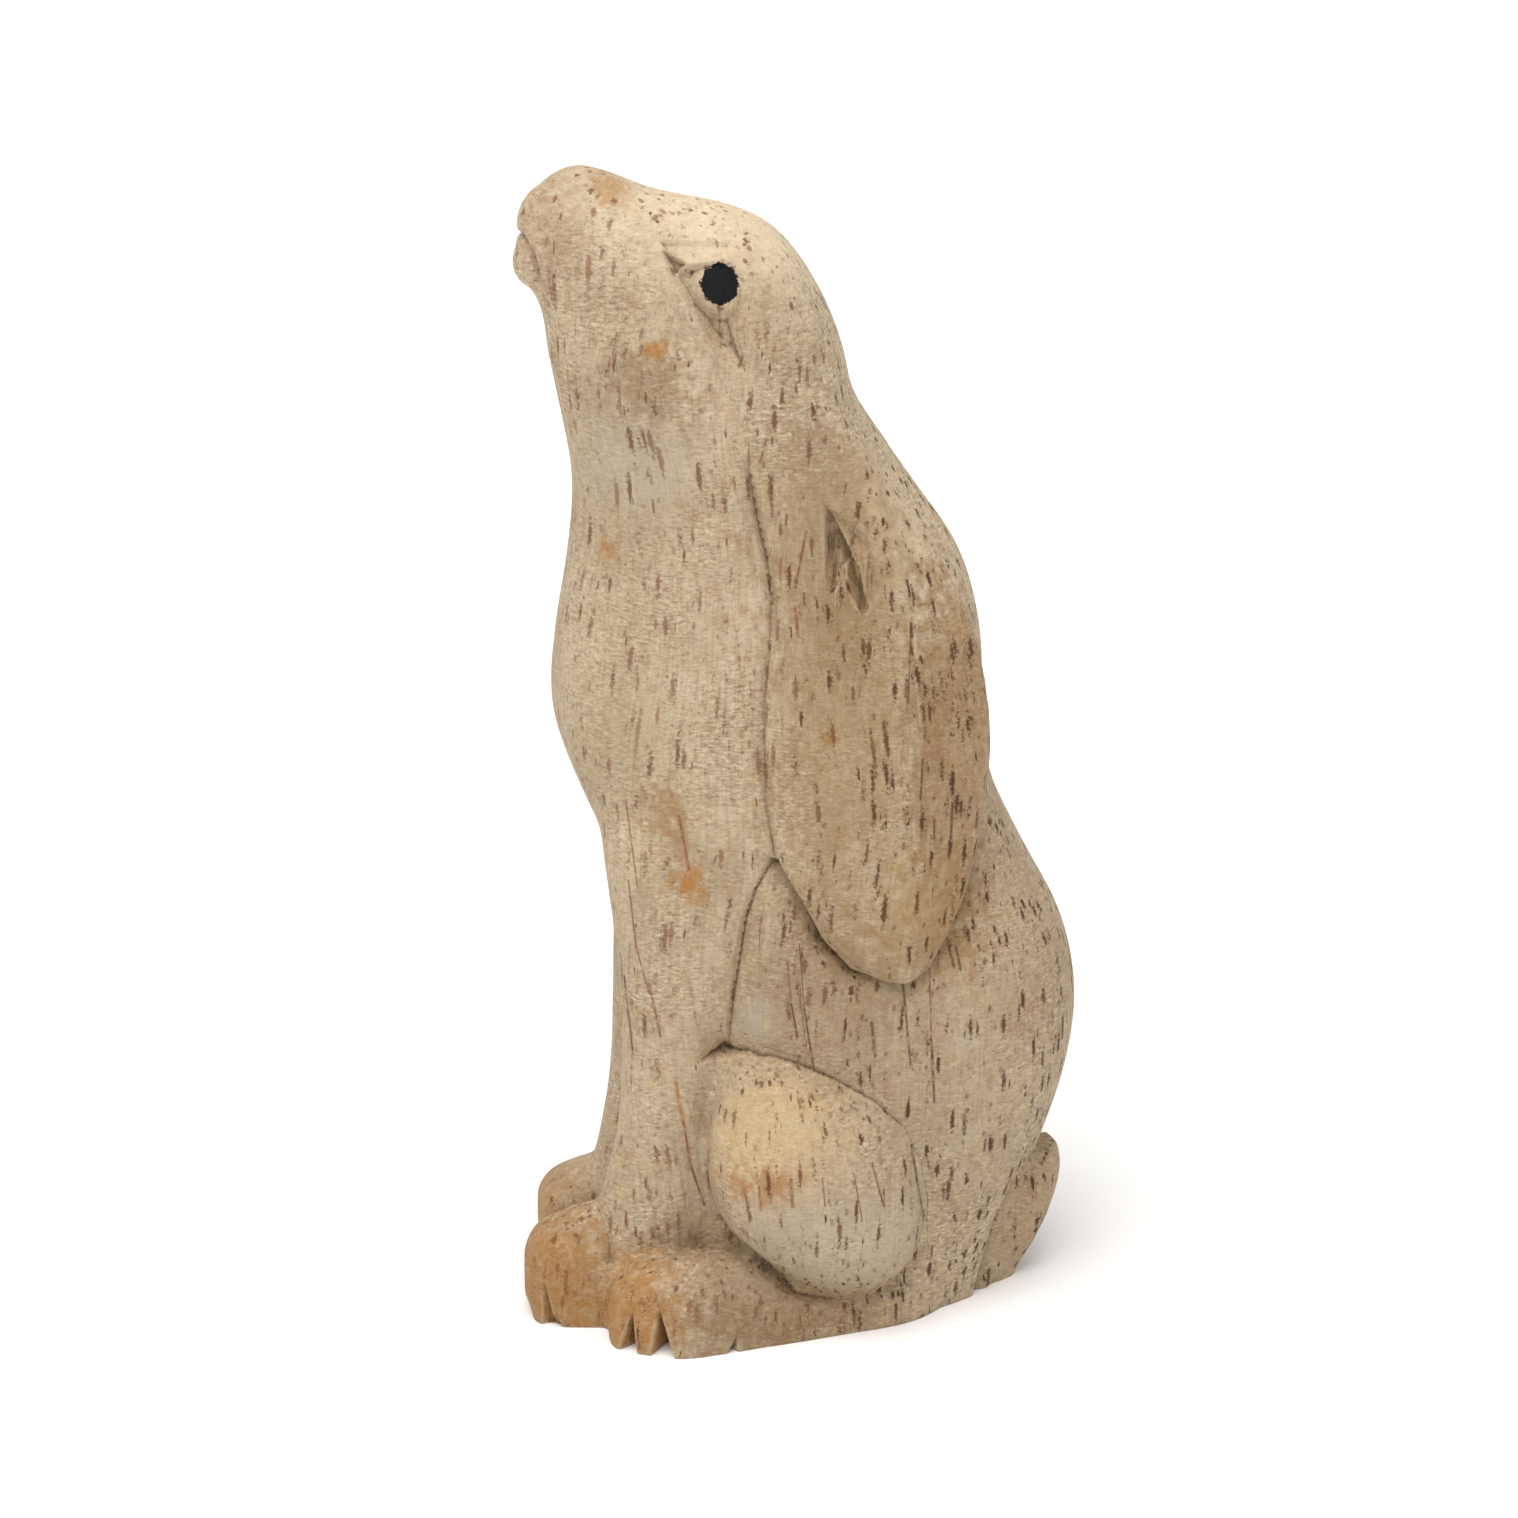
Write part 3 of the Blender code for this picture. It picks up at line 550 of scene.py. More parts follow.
def carve_limbs(blank):
    """Creases round the forelegs and thighs, and the flank between them."""
    # Crease between foreleg and flank, down to a pit above the knee.
    crease = [
        (-2.9, 51.2, 0.3), (-4.4, 48.6, 0.4), (-5.5, 45.3, 0.5), (-6.2, 40.8, 0.5),
        (-6.8, 36.3, 0.4), (-7.2, 32.2, 0.4),
    ]
    blank.score(X, crease, width=0.5)
    blank.shelf(X, crease, width=6.0, hand=1, share=1.3)
    blank.score(X, [(-7.5, 31.4, 0.7), (-7.6, 30.5, 1.5)], width=0.8)
    # Lines left by the knife as it cleared the flank.
    for line in (
        ((-3.3, 48.5), (-3.9, 44.5), (-4.1, 39.5)),
        ((0.0, 42.5), (0.2, 36.5), (1.2, 29.6)),
        ((-1.2, 40.5), (-1.0, 36.0), (-0.3, 33.0)),
    ):
        blank.score(X, [(y, z, deep) for (y, z), deep in zip(line, (0.05, 0.3, 0.1))], width=0.3)
    # Cuts round the thigh, where it meets the flank, the foreleg and the foot.
    thigh = [
        (-8.2, 29.9, 1.0), (-5.4, 30.7, 0.5), (-2.4, 30.5, 0.45), (0.1, 29.8, 0.45),
        (3.4, 28.4, 0.4), (7.6, 25.9, 0.3), (10.8, 22.8, 0.2), (12.5, 19.0, 0.1),
    ]
    blank.score(X, thigh, width=0.7)
    blank.shelf(X, [*thigh, (13.4, 14.5, 0.3), (13.5, 8.0, 0.2)], width=3.4, hand=1)
    blank.score(X, [
        (-8.6, 26.4, 0.2), (-9.5, 22.6, 0.3), (-9.5, 18.0, 0.4), (-8.8, 13.8, 0.4),
        (-7.7, 11.2, 0.9), (-6.2, 10.6, 0.6), (-4.7, 9.1, 0.6), (-2.4, 7.2, 0.6), (0.1, 5.3, 0.6),
        (1.9, 4.5, 0.5), (4.3, 3.8, 0.1),
    ], width=0.9)
    blank.shelf(X, [(-7.7, 11.2, 0.3), (-4.7, 9.1, 0.6), (-2.4, 7.2, 0.8), (0.1, 5.3, 0.8),
                    (1.9, 4.5, 0.6), (5.5, 3.6, 0.1)], width=3.0, hand=-1)
    # Small flat left above the knee, and the step behind the foreleg.
    blank.score(X, [(-5.2, 31.6, 0.1), (-2.6, 31.3, 0.3), (1.0, 30.2, 0.1)], width=0.4)
    blank.score(X, [(-12.6, 28.0, 0.1), (-11.6, 20.0, 0.2), (-10.4, 12.5, 0.2)], width=1.2)


def carve_toes(blank):
    """Toes of the hind feet and forepaws."""
    # Wedges between the hind toes, and a nick behind the outer one.
    hind, fore = (13.6, 99), (0, 13.6)
    blank.wedge(X, (-14.5, 5.2), (-14.1, 0.2), half=1.2, depth=3.8, out=hind)
    blank.wedge(X, (-17.3, 4.4), (-17.6, 0.2), half=0.9, depth=2.6, out=hind)
    blank.wedge(X, (-6.4, 1.9), (-6.9, -0.4), half=0.7, depth=1.2, out=hind)
    blank.score(X, [(-15.4, 8.2, 0.1), (-14.6, 5.6, 0.6), (-14.3, 2.0, 0.6)], width=1.2, out=hind)
    blank.score(X, [(-17.2, 6.4, 0.1), (-17.3, 4.0, 0.5), (-17.5, 0, 0.5)], width=0.9, out=hind)
    # Forepaws: the outer toe, its undercut sole, and the gap between the front toes.
    blank.wedge(X, (-26.2, 5.4), (-25.7, 0.4), half=0.7, depth=1.0, out=fore)
    blank.score(X, [(-24.6, 0.2, 1.0), (-22.0, 0.9, 1.3), (-19.6, 0.6, 1.2)], width=1.5, out=fore)
    blank.score(X, [(-20.4, 12.0, 0.1), (-19.4, 9.0, 0.5), (-19.2, 5.0, 0.8)], width=0.9, out=fore)
    blank.wedge(Y, (7.3, 8.0), (7.0, -0.5), half=0.8, depth=1.3)


def carve_tail(blank):
    """Cut between the rump and the tail, and the tail's rear edge."""
    blank.score(X, [
        (25.4, 14.8, 0.6), (23.1, 12.2, 1.1), (21.4, 8.5, 1.2), (19.4, 0, 1.3),
    ], width=0.8)
    blank.score(X, [
        (26.9, 14.0, -0.2), (26.6, 10.0, -0.3), (25.2, 4.5, -0.3), (23.0, 0, -0.2),
    ], width=0.7)


def crease_depth(mesh, rounds):
    """How far each vertex lies below its wider surroundings, in millimetres."""
    places = np.empty(len(mesh.vertices) * 3, np.float32)
    mesh.vertices.foreach_get("co", places)
    places = places.reshape(-1, 3).astype(float) / MM
    normals = np.empty(len(mesh.vertices) * 3, np.float32)
    mesh.vertices.foreach_get("normal", normals)
    ends = np.empty(len(mesh.edges) * 2, np.int32)
    mesh.edges.foreach_get("vertices", ends)
    one, other = ends.reshape(-1, 2).T
    count = np.bincount(one, minlength=len(places)) + np.bincount(other, minlength=len(places))
    spread = places
    for _ in range(rounds):
        total = np.stack([
            np.bincount(one, spread[other, axis], len(places))
            + np.bincount(other, spread[one, axis], len(places))
            for axis in (X, Y, Z)
        ], axis=1)
        spread = 0.4 * spread + 0.6 * total / count[:, None]
    return np.einsum("ij,ij->i", spread - places, normals.reshape(-1, 3))


def level_cut(mesh):
    """Cuts the figure off level at the underside."""
    bm = bmesh.new()
    bm.from_mesh(mesh)
    geometry = bm.verts[:] + bm.edges[:] + bm.faces[:]
    found = bmesh.ops.bisect_plane(
        bm, geom=geometry, plane_co=(0, 0, 0), plane_no=(0, 0, 1), clear_inner=True
    )
    rim = [item for item in found["geom_cut"] if isinstance(item, bmesh.types.BMEdge)]
    bmesh.ops.holes_fill(bm, edges=rim)
    bmesh.ops.triangulate(bm, faces=bm.faces)
    bm.to_mesh(mesh)
    bm.free()


coarse = 1.0
soft = bmesh.new()
for mass in (trunk, belly, head, forelegs, ear_roots):
    mass(soft)
body = melted(soft, voxel=0.5 * coarse, rounds=round(76 / coarse**2))
crisp = bmesh.new()
for mass in (lower_lip, forepaws, hind_feet, haunches, tail, ears):
    mass(crisp)
crisp.from_mesh(body)
figure = melted(crisp, voxel=0.4 * coarse, rounds=8)
drop_pockets(figure)
figure = applied(figure, [("SUBSURF", {"levels": 1, "render_levels": 1})])
blank = Blank(figure)
for carve in (carve_face, carve_ears, carve_limbs, carve_toes, carve_tail):
    carve(blank)
blank.finish()
level_cut(figure)
for name, rounds, scale in (("fine_crease", 6, 0.12), ("wide_crease", 60, 0.8)):
    layer = figure.attributes.new(name, "FLOAT", "POINT")
    crease = np.clip(crease_depth(figure, rounds) / scale, -1, 1)
    layer.data.foreach_set("value", crease.astype(np.float32))
thinned = min(1.0, MOST_TRIANGLES / len(figure.polygons))
figure = applied(figure, [("DECIMATE", {"ratio": thinned})])
figure.name = "hare_carving"
carved_hare = bpy.data.objects.new("carved_hare", figure)
bpy.context.collection.objects.link(carved_hare)

# The blank is brought to the solid's own box.
lowest, highest = (Vector(corner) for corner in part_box("hare"))
places = np.array([vert.co for vert in figure.vertices])
low, high = places.min(axis=0), places.max(axis=0)
fit = (np.array(highest) - np.array(lowest)) / (high - low)
places = np.array(lowest) + (places - low) * fit
figure.vertices.foreach_set("co", places.astype(np.float32).ravel())
figure.update()
figure.shade_smooth()
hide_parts("hare")
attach(carved_hare, "root")


def linear(red, green, blue):
    """Colour of an 8-bit swatch, as the shader takes it."""
    shares = (red / 255, green / 255, blue / 255)
    swatch = [((c + 0.055) / 1.055) ** 2.4 if c > 0.04 else c / 12.92 for c in shares]
    return (*swatch, 1)


CREAM = linear(204, 185, 155)
BUFF = linear(178, 157, 127)
TAN = linear(148, 121, 90)
GREY_TAN = linear(166, 147, 124)
PINK = linear(170, 132, 104)
YELLOW = linear(196, 168, 114)
UMBER = linear(80, 50, 28)
RUST = linear(126, 70, 36)
# Dark brown of the fine dark lines, and of the painted shade in the cuts.
GRIME_AND_SHADE = linear(88, 66, 44)
HONEY = linear(158, 114, 62)
ORANGE = linear(170, 112, 38)
REDDISH = linear(132, 90, 54)
BLACK = linear(4, 5, 9)


def noise_at(place):
    """Roughness of a place on the figure, from about -0.5 to 0.5."""
    per_mm, smoothness, finer, layers = 0.9, 0.6, 2.1, 4
    return fractal(Vector(place) * per_mm, smoothness, finer, layers) * 0.5


# Stains, with painted highlights and shade among them: each its middle, reach, raggedness,
# softness, colour and strength. They are kept in the mesh as a colour for each vertex.
places = places / MM
uneven = np.array([noise_at(place) for place in places])
stain_and_painted_light = np.zeros((len(places), 4))
for centre, size, ragged, soft_edge, tone, strength in (
    # Pale patch on the top of the head: painted highlight where the light falls from above.
    ((0.0, -6.0, 116.0), (12.0, 14.0, 6.0), 0.5, 1.4, linear(238, 217, 184), 0.7),
    # Darker patch on the front of the neck, under the head: painted shade.
    ((10.0, -19.0, 88.0), (10.0, 8.0, 9.0), 0.6, 1.4, linear(156, 134, 102), 0.45),
    ((12.0, -20.0, 62.0), (12.0, 8.0, 14.0), 0.6, 1.4, linear(178, 158, 124), 0.3),
    ((9.0, -17.0, 92.0), (8.0, 5.0, 5.0), 0.8, 1.2, linear(196, 184, 166), 0.4),
    ((10.5, 9.2, 88.0), (6.0, 3.6, 9.0), 0.6, 1.0, linear(212, 190, 154), 0.6),
    ((12.0, 3.5, 84.0), (5.0, 6.5, 14.0), 0.9, 1.2, TAN, 0.55),
    ((14.0, 4.0, 66.0), (6.0, 7.0, 22.0), 0.9, 1.3, linear(150, 120, 80), 0.6),
    ((13.0, 15.0, 64.0), (8.0, 5.0, 20.0), 1.0, 0.7, linear(142, 104, 60), 0.6),
    ((14.0, 12.0, 45.0), (6.0, 6.0, 6.0), 1.2, 1.2, linear(160, 124, 70), 0.6),
    ((10.0, 22.0, 46.0), (14.0, 9.0, 20.0), 1.0, 1.3, linear(150, 116, 80), 0.3),
    ((14.0, 3.0, 36.0), (6.0, 9.0, 10.0), 0.7, 1.2, TAN, 0.6),
    ((16.0, -4.0, 4.0), (8.0, 12.0, 6.0), 0.9, 1.2, linear(130, 98, 60), 0.75),
    ((0.0, 27.0, 7.0), (9.0, 8.0, 9.0), 0.9, 1.2, linear(156, 124, 86), 0.4),
    ((0.0, -24.0, 113.0), (7.0, 3.5, 5.0), 1.8, 1.0, linear(160, 118, 90), 0.4),
    # Pale patch on the top of the haunch: painted highlight.
    ((19.0, -4.0, 23.0), (5.0, 7.0, 6.5), 0.9, 1.0, linear(218, 186, 138), 0.5),
    ((19.0, 2.0, 11.0), (6.0, 9.0, 6.0), 0.9, 1.2, linear(186, 174, 152), 0.5),
    ((9.5, -14.8, 99.8), (6.0, 3.4, 3.8), 2.2, 0.8, linear(130, 98, 64), 0.45),
    ((9.5, -14.6, 103.5), (4.0, 1.6, 0.9), 1.2, 0.6, ORANGE, 0.9),
    ((2.6, -18.7, 118.3), (3.0, 1.7, 2.0), 1.2, 0.9, ORANGE, 0.5),
    ((9.0, -19.5, 82.7), (4.0, 1.0, 1.2), 1.0, 0.8, ORANGE, 0.55),
    ((14.0, -11.6, 48.9), (5.0, 1.7, 2.0), 1.3, 0.9, ORANGE, 0.75),
    ((16.0, 2.6, 64.5), (4.0, 0.7, 1.0), 1.0, 0.7, linear(150, 106, 32), 0.65),
    ((13.0, -14.0, 56.6), (5.0, 2.2, 2.4), 1.5, 1.2, linear(150, 108, 52), 0.55),
    ((13.0, -12.4, 53.2), (5.0, 1.0, 3.0), 1.5, 1.0, linear(150, 104, 60), 0.4),
    ((19.0, -4.2, 18.2), (6.0, 3.0, 1.6), 2.6, 0.9, linear(158, 98, 46), 0.6),
    ((13.0, -5.0, 34.6), (6.0, 1.8, 2.4), 1.4, 1.2, linear(186, 180, 176), 0.3),
    ((14.0, 16.0, 31.6), (6.0, 1.8, 1.2), 1.6, 1.0, linear(200, 186, 168), 0.3),
    ((10.0, -26.0, 4.0), (9.0, 7.0, 8.0), 0.8, 0.8, HONEY, 0.85),
    ((-10.0, -27.0, 3.0), (9.0, 6.0, 5.5), 1.0, 1.2, HONEY, 0.7),
    ((18.0, -18.0, 2.5), (6.0, 5.4, 7.5), 0.8, 1.0, linear(166, 120, 66), 0.85),
    ((-18.0, -18.0, 2.5), (6.0, 4.6, 6.0), 1.0, 1.2, HONEY, 0.7),
):
    far = np.linalg.norm((places - centre) / size, axis=1) + uneven * ragged - 1
    share = np.clip(0.5 - far / soft_edge, 0, 1)
    share = strength * share * share * (3 - 2 * share)
    under = stain_and_painted_light[:, 3] * (1 - share)
    total = np.maximum(share + under, 1e-6)
    stain_and_painted_light[:, :3] = (stain_and_painted_light[:, :3] * under[:, None] + np.outer(share, tone[:3])) / total[:, None]
    stain_and_painted_light[:, 3] = share + under
layer = figure.attributes.new("stain_and_painted_light", "FLOAT_COLOR", "POINT")
layer.data.foreach_set("color", stain_and_painted_light.astype(np.float32).ravel())


def node(tree, kind, inputs=(), **settings):
    """New shader node. Its inputs are given by name or number, each a value or another output."""
    made = tree.nodes.new(kind)
    for name, value in settings.items():
        setattr(made, name, value)
    for key, value in dict(inputs).items():
        if isinstance(value, bpy.types.NodeSocket):
            tree.links.new(value, made.inputs[key])
        else:
            made.inputs[key].default_value = value
    return made


def maths(tree, operation, first, second=0.0, third=0.0):
    """Result of a sum on up to three numbers."""
    inputs = {0: first, 1: second, 2: third}
    return node(tree, "ShaderNodeMath", inputs, operation=operation).outputs[0]


def ramp(tree, value, start, end, low=0.0, high=1.0):
    """Smooth step of a value from `low` at `start` to `high` at `end`."""
    return node(tree, "ShaderNodeMapRange", {
        "Value": value, "From Min": start, "From Max": end, "To Min": low, "To Max": high,
    }, interpolation_type="SMOOTHSTEP").outputs["Result"]


def blend(tree, share, under, over):
    """Colour `over` laid on colour `under`."""
    inputs = {0: share, 6: under, 7: over}
    return node(tree, "ShaderNodeMix", inputs, data_type="RGBA").outputs[2]


def vector(tree, operation, first, second=(0, 0, 0), scale=1.0):
    """Result of a sum on one or two vectors."""
    inputs = {0: first, 1: second, 3: scale}
    made = node(tree, "ShaderNodeVectorMath", inputs, operation=operation)
    return made.outputs["Value" if operation in ("LENGTH", "DOT_PRODUCT") else "Vector"]


def noise(tree, place, scale, detail=2.0, roughness=0.5, output="Fac"):
    """Cloudy noise at a place, as a number or a colour."""
    return node(tree, "ShaderNodeTexNoise", {
        "Vector": place, "Scale": scale, "Detail": detail, "Roughness": roughness,
    }).outputs[output]


def vessels_group():
    """Cut-open vessels of the wood: thin streaks along the grain, dots where it is cut across."""
    tree = bpy.data.node_groups.new("vessels", "ShaderNodeTree")
    for name, kind, default in (
        ("Grain", "NodeSocketVector", None), ("Spacing", "NodeSocketFloat", 1.0),
        ("Run", "NodeSocketFloat", 8.0), ("Width", "NodeSocketFloat", 0.24),
        ("Share", "NodeSocketFloat", 1.0),
    ):
        socket = tree.interface.new_socket(name, in_out="INPUT", socket_type=kind)
        if default is not None:
            socket.default_value = default
    tree.interface.new_socket("Mask", in_out="OUTPUT", socket_type="NodeSocketFloat")
    tree.interface.new_socket("Tint", in_out="OUTPUT", socket_type="NodeSocketFloat")
    source = tree.nodes.new("NodeGroupInput").outputs
    across = maths(tree, "DIVIDE", 1.0, source["Spacing"])
    along = maths(tree, "DIVIDE", 1.0, source["Run"])
    size = node(tree, "ShaderNodeCombineXYZ", {0: across, 1: across, 2: along}).outputs[0]
    cells = node(tree, "ShaderNodeTexVoronoi", {
        "Vector": vector(tree, "MULTIPLY", source["Grain"], size), "Scale": 1.0, "Randomness": 1.0,
    }, voronoi_dimensions="3D", feature="F1")
    chance = node(tree, "ShaderNodeSeparateColor", {"Color": cells.outputs["Color"]}).outputs
    ragged = noise(tree, source["Grain"], 2.8, detail=3.0, roughness=0.8)
    far = maths(tree, "MULTIPLY", cells.outputs["Distance"], source["Spacing"])
    far = maths(tree, "MULTIPLY", far, ramp(tree, ragged, 0.3, 0.7, 0.55, 1.7))
    wide = maths(tree, "MULTIPLY", source["Width"], ramp(tree, chance["Red"], 0.0, 1.0, 0.35, 1.25))
    share = maths(tree, "DIVIDE", far, wide)
    sink = tree.nodes.new("NodeGroupOutput").inputs
    open_here = maths(tree, "LESS_THAN", chance["Blue"], source["Share"])
    tree.links.new(maths(tree, "MULTIPLY", ramp(tree, share, 1.2, 0.5), open_here), sink["Mask"])
    tree.links.new(chance["Green"], sink["Tint"])
    return tree


def streak_group():
    """Single thin line between two places on the left side, broken up along its run."""
    tree = bpy.data.node_groups.new("streak", "ShaderNodeTree")
    for name, kind in (
        ("Place", "NodeSocketVector"), ("Start", "NodeSocketVector"), ("End", "NodeSocketVector"),
        ("Rough", "NodeSocketFloat"), ("Width", "NodeSocketFloat"),
    ):
        tree.interface.new_socket(name, in_out="INPUT", socket_type=kind)
    tree.interface.new_socket("Mask", in_out="OUTPUT", socket_type="NodeSocketFloat")
    source = tree.nodes.new("NodeGroupInput").outputs
    flat = vector(tree, "MULTIPLY", source["Place"], (0, 1, 1))
    gap = vector(tree, "SUBTRACT", flat, source["Start"])
    run = vector(tree, "SUBTRACT", source["End"], source["Start"])
    along = vector(tree, "DOT_PRODUCT", gap, run)
    along = maths(tree, "DIVIDE", along, vector(tree, "DOT_PRODUCT", run, run))
    along = maths(tree, "MINIMUM", maths(tree, "MAXIMUM", along, 0.0), 1.0)
    nearest = vector(tree, "SCALE", run, scale=along)
    far = vector(tree, "LENGTH", vector(tree, "SUBTRACT", gap, nearest))
    far = maths(tree, "MULTIPLY", far, ramp(tree, source["Rough"], 0.3, 0.7, 0.6, 1.9))
    share = maths(tree, "DIVIDE", far, source["Width"])
    aside = node(tree, "ShaderNodeSeparateXYZ", {0: source["Place"]}).outputs[0]
    left = maths(tree, "GREATER_THAN", aside, 0.0)
    sink = tree.nodes.new("NodeGroupOutput").inputs
    tree.links.new(maths(tree, "MULTIPLY", ramp(tree, share, 1.2, 0.4), left), sink["Mask"])
    return tree


wood = bpy.data.materials.new("pale_open_pored_wood")
wood.use_nodes = True
tree = wood.node_tree
shader = tree.nodes["Principled BSDF"]
place = vector(tree, "SCALE", node(tree, "ShaderNodeTexCoord").outputs["Object"], scale=1 / MM)
sides = node(tree, "ShaderNodeSeparateXYZ", {0: place}).outputs
rear = ramp(tree, sides["Y"], -8, 13)

# The block's fibres run up the figure, and lean and wander a little.
wander = vector(tree, "SUBTRACT", noise(tree, place, 0.035, 1.0, output="Color"), (0.5, 0.5, 0.5))
grain = vector(tree, "ADD", place, vector(tree, "MULTIPLY", wander, (6, 6, 0)))

# Ground colour: cream in patches on buff, greyer towards the foot, mottled pink and yellow.
clouds = noise(tree, vector(tree, "MULTIPLY", place, (1, 1, 0.6)), 0.13, 4.0, 0.65)
colour = blend(tree, ramp(tree, clouds, 0.35, 0.65), BUFF, CREAM)
colour = blend(tree, ramp(tree, sides["Z"], 75, 10, 0.0, 0.4), colour, GREY_TAN)
stretched = vector(tree, "MULTIPLY", place, (1, 1, 0.7))
mottle = node(tree, "ShaderNodeSeparateColor", {
    "Color": noise(tree, stretched, 0.55, 5.0, 0.7, output="Color"),
}).outputs
colour = blend(tree, ramp(tree, mottle["Red"], 0.48, 0.72, 0.0, 0.55), colour, PINK)
colour = blend(tree, ramp(tree, mottle["Green"], 0.5, 0.74, 0.0, 0.5), colour, YELLOW)
colour = blend(tree, ramp(tree, mottle["Blue"], 0.5, 0.3, 0.0, 0.45), colour, CREAM)

# Fibre lines, finer than a vessel.
fibres = noise(tree, vector(tree, "MULTIPLY", grain, (3.2, 3.2, 0.14)), 1.0, 4.0, 0.6)
colour = blend(tree, ramp(tree, fibres, 0.42, 0.72, 0.0, 0.45), colour, TAN)

# Curl: tiny pale and dark waves across the grain, strongest in patches. They are partly the wood's
# own figure, and the pale waves are partly a painted sheen on its ripples.
curl = noise(tree, vector(tree, "MULTIPLY", place, (0.9, 0.9, 2.4)), 1.5, 5.0, 0.75)
curly = ramp(tree, noise(tree, place, 0.09, 2.0), 0.4, 0.6, 0.5, 1.0)
pale_waves_and_sheen = maths(tree, "MULTIPLY", ramp(tree, curl, 0.5, 0.68, 0.0, 0.8), curly)
colour = blend(tree, pale_waves_and_sheen, colour, linear(232, 212, 180))
dark = maths(tree, "MULTIPLY", ramp(tree, curl, 0.5, 0.32, 0.0, 0.75), curly)
colour = blend(tree, dark, colour, linear(116, 88, 62))

# Stains soaked into the wood, mottled as it took them up, with the painted highlights and shade
# that are kept among them.
rough = noise(tree, place, 1.3, 4.0, 0.72)
stain_and_light_tint = node(tree, "ShaderNodeAttribute", attribute_name="stain_and_painted_light").outputs
share = maths(tree, "MULTIPLY", stain_and_light_tint["Alpha"], ramp(tree, rough, 0.3, 0.7, 0.75, 1.2))
colour = blend(tree, share, colour, stain_and_light_tint["Color"])

# Vessels: short and long slots in drifts, rusty in front, darker and closer set behind.
drift = ramp(tree, noise(tree, vector(tree, "MULTIPLY", place, (1, 1, 0.4)), 0.17, 3.0), 0.42, 0.62)
crowd = maths(tree, "MULTIPLY_ADD", drift, 0.45, 0.36)
crowd = maths(tree, "ADD", crowd, maths(tree, "MULTIPLY", rear, 0.2))
vessels = vessels_group()
streaks = 0.0
for spacing, run, width, strength in (
    (0.75, 4.6, 0.25, 0.95), (1.4, 20.0, 0.19, 0.75), (0.9, 1.8, 0.2, 0.55),
):
    cut = node(tree, "ShaderNodeGroup", node_tree=vessels)
    for name, value in (("Spacing", spacing), ("Run", run), ("Width", width)):
        cut.inputs[name].default_value = value
    tree.links.new(grain, cut.inputs["Grain"])
    tree.links.new(crowd, cut.inputs["Share"])
    deep = maths(tree, "MULTIPLY_ADD", cut.outputs["Tint"], 0.5, maths(tree, "MULTIPLY", rear, 0.6))
    dark = ramp(tree, deep, 0.0, 0.8, 0.6 * strength, strength)
    mask = maths(tree, "MULTIPLY", cut.outputs["Mask"], dark)
    colour = blend(tree, mask, colour, blend(tree, deep, RUST, UMBER))
    streaks = maths(tree, "MAXIMUM", streaks, mask)

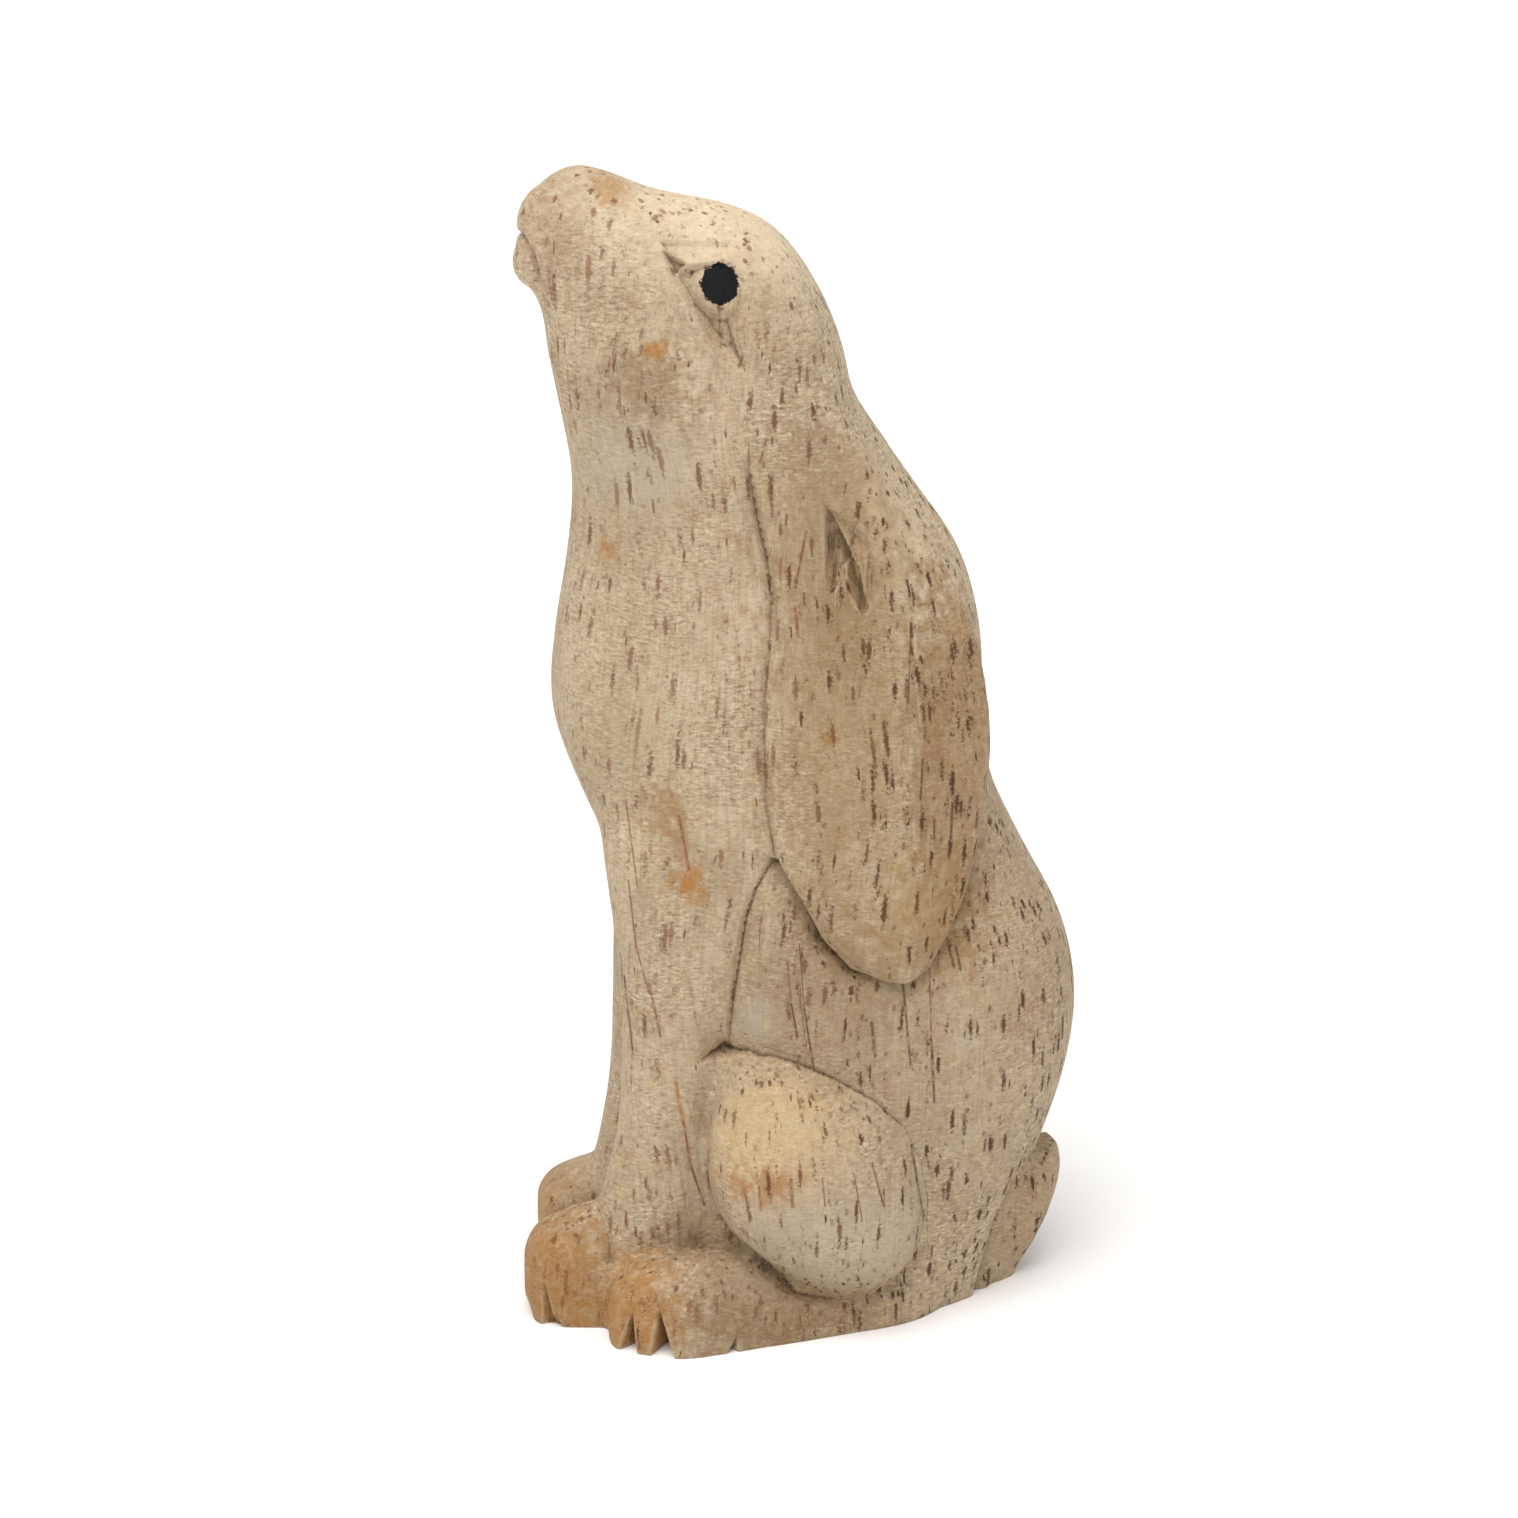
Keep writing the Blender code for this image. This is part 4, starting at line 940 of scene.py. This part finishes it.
# The longest open lines on the seen side: start, end, width and colour of each.
lines = streak_group()
drawn_width = 0.8
broken = ramp(tree, rough, 0.36, 0.56, 0.25, 0.8)
for start, end, width, tone in (
    ((-1.7, 41.1), (-1.3, 36.5), 0.22, RUST), ((-1.3, 36.5), (-0.7, 33.1), 0.25, UMBER),
    ((-0.5, 43.0), (0.0, 36.0), 0.14, GRIME_AND_SHADE), ((0.0, 36.0), (1.0, 29.4), 0.24, UMBER),
    ((6.8, 34.6), (7.2, 31.0), 0.32, UMBER), ((10.0, 38.4), (10.8, 29.7), 0.26, UMBER),
    ((12.7, 39.7), (12.9, 32.4), 0.2, RUST), ((12.9, 32.4), (13.3, 25.5), 0.3, UMBER),
    ((14.5, 42.5), (15.2, 39.8), 0.3, UMBER), ((15.4, 41.8), (15.9, 39.4), 0.28, UMBER),
    ((16.4, 23.4), (16.5, 21.2), 0.36, UMBER), ((18.8, 20.4), (18.7, 18.7), 0.3, UMBER),
    ((-15.6, 38.0), (-14.5, 32.5), 0.26, RUST), ((-17.6, 48.7), (-16.9, 41.8), 0.16, UMBER),
    ((-16.9, 41.8), (-15.6, 37.0), 0.18, RUST), ((-18.1, 38.0), (-17.3, 30.0), 0.22, UMBER),
    ((-17.8, 57.0), (-16.7, 48.2), 0.16, RUST), ((-13.0, 27.4), (-12.2, 22.9), 0.4, ORANGE),
    ((-12.2, 22.9), (-11.5, 17.8), 0.3, RUST), ((-11.5, 17.8), (-10.1, 12.9), 0.26, UMBER),
    ((-12.5, 56.0), (-11.5, 50.3), 0.3, RUST), ((6.8, 20.4), (8.0, 15.6), 0.2, UMBER),
    ((11.0, 20.7), (11.6, 16.9), 0.3, UMBER), ((11.6, 16.9), (12.5, 11.6), 0.22, UMBER),
    ((4.9, 19.6), (5.8, 14.4), 0.16, RUST), ((1.7, 19.1), (2.0, 16.1), 0.2, RUST),
    ((-6.2, 17.6), (-5.8, 15.7), 0.3, REDDISH), ((-1.5, 19.1), (-1.3, 16.1), 0.4, REDDISH),
    ((-4.7, 18.1), (-4.5, 15.5), 0.24, RUST), ((14.9, 60.7), (14.6, 53.2), 0.3, UMBER),
    ((11.7, 62.8), (11.5, 58.8), 0.26, UMBER), ((12.9, 56.6), (12.9, 54.5), 0.22, UMBER),
    ((10.5, 76.4), (10.1, 68.0), 0.2, GRIME_AND_SHADE), ((0.2, 85.6), (-0.9, 80.0), 0.26, RUST),
    ((-0.9, 78.0), (-0.6, 75.1), 0.26, RUST), ((-3.7, 94.6), (-4.3, 92.4), 0.26, RUST),
):
    cut = node(tree, "ShaderNodeGroup", node_tree=lines)
    for name, value in (
        ("Start", (0, *start)), ("End", (0, *end)), ("Width", drawn_width * width),
    ):
        cut.inputs[name].default_value = value
    tree.links.new(place, cut.inputs["Place"])
    tree.links.new(rough, cut.inputs["Rough"])
    colour = blend(tree, maths(tree, "MULTIPLY", cut.outputs["Mask"], broken), colour, tone)

# Darkening in the cuts: mostly painted shade, partly dirt. Paler wood along the ridges and edges:
# painted highlight.
fine = node(tree, "ShaderNodeAttribute", attribute_name="fine_crease").outputs["Fac"]
wide = node(tree, "ShaderNodeAttribute", attribute_name="wide_crease").outputs["Fac"]
crease_shade_and_dirt = ramp(tree, fine, 0.3, 1.0, 0, 0.5)
crease_shade_and_dirt = maths(tree, "MAXIMUM", crease_shade_and_dirt, ramp(tree, wide, 0.25, 1.0, 0, 0.25))
colour = blend(tree, crease_shade_and_dirt, colour, GRIME_AND_SHADE)
# Painted highlight: paler along the ridges and edges that stand out.
colour = blend(tree, ramp(tree, fine, -0.3, -1.0, 0, 0.35), colour, CREAM)

# Painted pupils, dabbed on with a small brush.
flat = vector(tree, "MULTIPLY", place, (0, 1, 1))
dab = noise(tree, place, 1.4, 4.0, 0.8)
far = vector(tree, "LENGTH", vector(tree, "SUBTRACT", flat, PUPIL))
far = maths(tree, "ADD", far, maths(tree, "MULTIPLY", maths(tree, "SUBTRACT", dab, 0.5), 1.6))
pupil = ramp(tree, far, PUPIL_RADIUS, PUPIL_RADIUS - 0.1)
colour = blend(tree, pupil, colour, BLACK)
tree.links.new(colour, shader.inputs["Base Color"])
shine = ramp(tree, fibres, 0.3, 0.7, 0.52, 0.66)
shine = maths(tree, "ADD", shine, maths(tree, "MULTIPLY", streaks, 0.15))
tree.links.new(shine, shader.inputs["Roughness"])
shader.inputs["Specular IOR Level"].default_value = 0.25

# Relief: open vessels, fibre and the fine ripple that sanding across the grain leaves.
relief = maths(tree, "MULTIPLY", streaks, -0.16)
relief = maths(tree, "ADD", relief, maths(tree, "MULTIPLY", fibres, 0.05))
relief = maths(tree, "ADD", relief, maths(tree, "MULTIPLY", curl, 0.3))
bump = node(tree, "ShaderNodeBump", {"Strength": 0.8, "Distance": MM, "Height": relief})
tree.links.new(bump.outputs["Normal"], shader.inputs["Normal"])
figure.materials.append(wood)


# Floor and studio
# A pale seamless floor under a broad soft lamp, above and to the left of the camera, and a white
# room that fills the shadows.

bm = bmesh.new()
bmesh.ops.create_grid(bm, x_segments=1, y_segments=1, size=4.0)
floor_mesh = bpy.data.meshes.new("floor")
bm.to_mesh(floor_mesh)
bm.free()
floor = bpy.data.objects.new("floor", floor_mesh)
bpy.context.collection.objects.link(floor)
paper = bpy.data.materials.new("white_paper")
paper.use_nodes = True
surface = paper.node_tree.nodes["Principled BSDF"].inputs
surface["Base Color"].default_value = (0.95, 0.95, 0.95, 1)
surface["Roughness"].default_value = 0.9
floor_mesh.materials.append(paper)

lamp = bpy.data.lights.new("key", "SUN")
lamp.energy = 2.25
lamp.angle = math.radians(45)
lamp.color = (1.0, 0.98, 0.95)
key = bpy.data.objects.new("key", lamp)
towards_lamp = Vector((0.44, -0.22, 1.12))
key.rotation_euler = towards_lamp.to_track_quat("Z", "Y").to_euler()
bpy.context.collection.objects.link(key)

world = bpy.data.worlds.new("studio")
world.use_nodes = True
room = world.node_tree.nodes["Background"].inputs
room["Color"].default_value = (1, 1, 1, 1)
room["Strength"].default_value = 0.69
bpy.context.scene.world = world
bpy.context.scene.view_settings.view_transform = "Standard"

# Camera at the photograph's angle.
view = bpy.data.cameras.new("view")
view.sensor_width = 36
view.lens = 127.8
eye = bpy.data.objects.new("view", view)
eye.location = (0.5156, -0.02205, 0.2503)
eye.rotation_euler = (math.radians(69.5), 0, math.radians(88))
bpy.context.collection.objects.link(eye)
bpy.context.scene.camera = eye
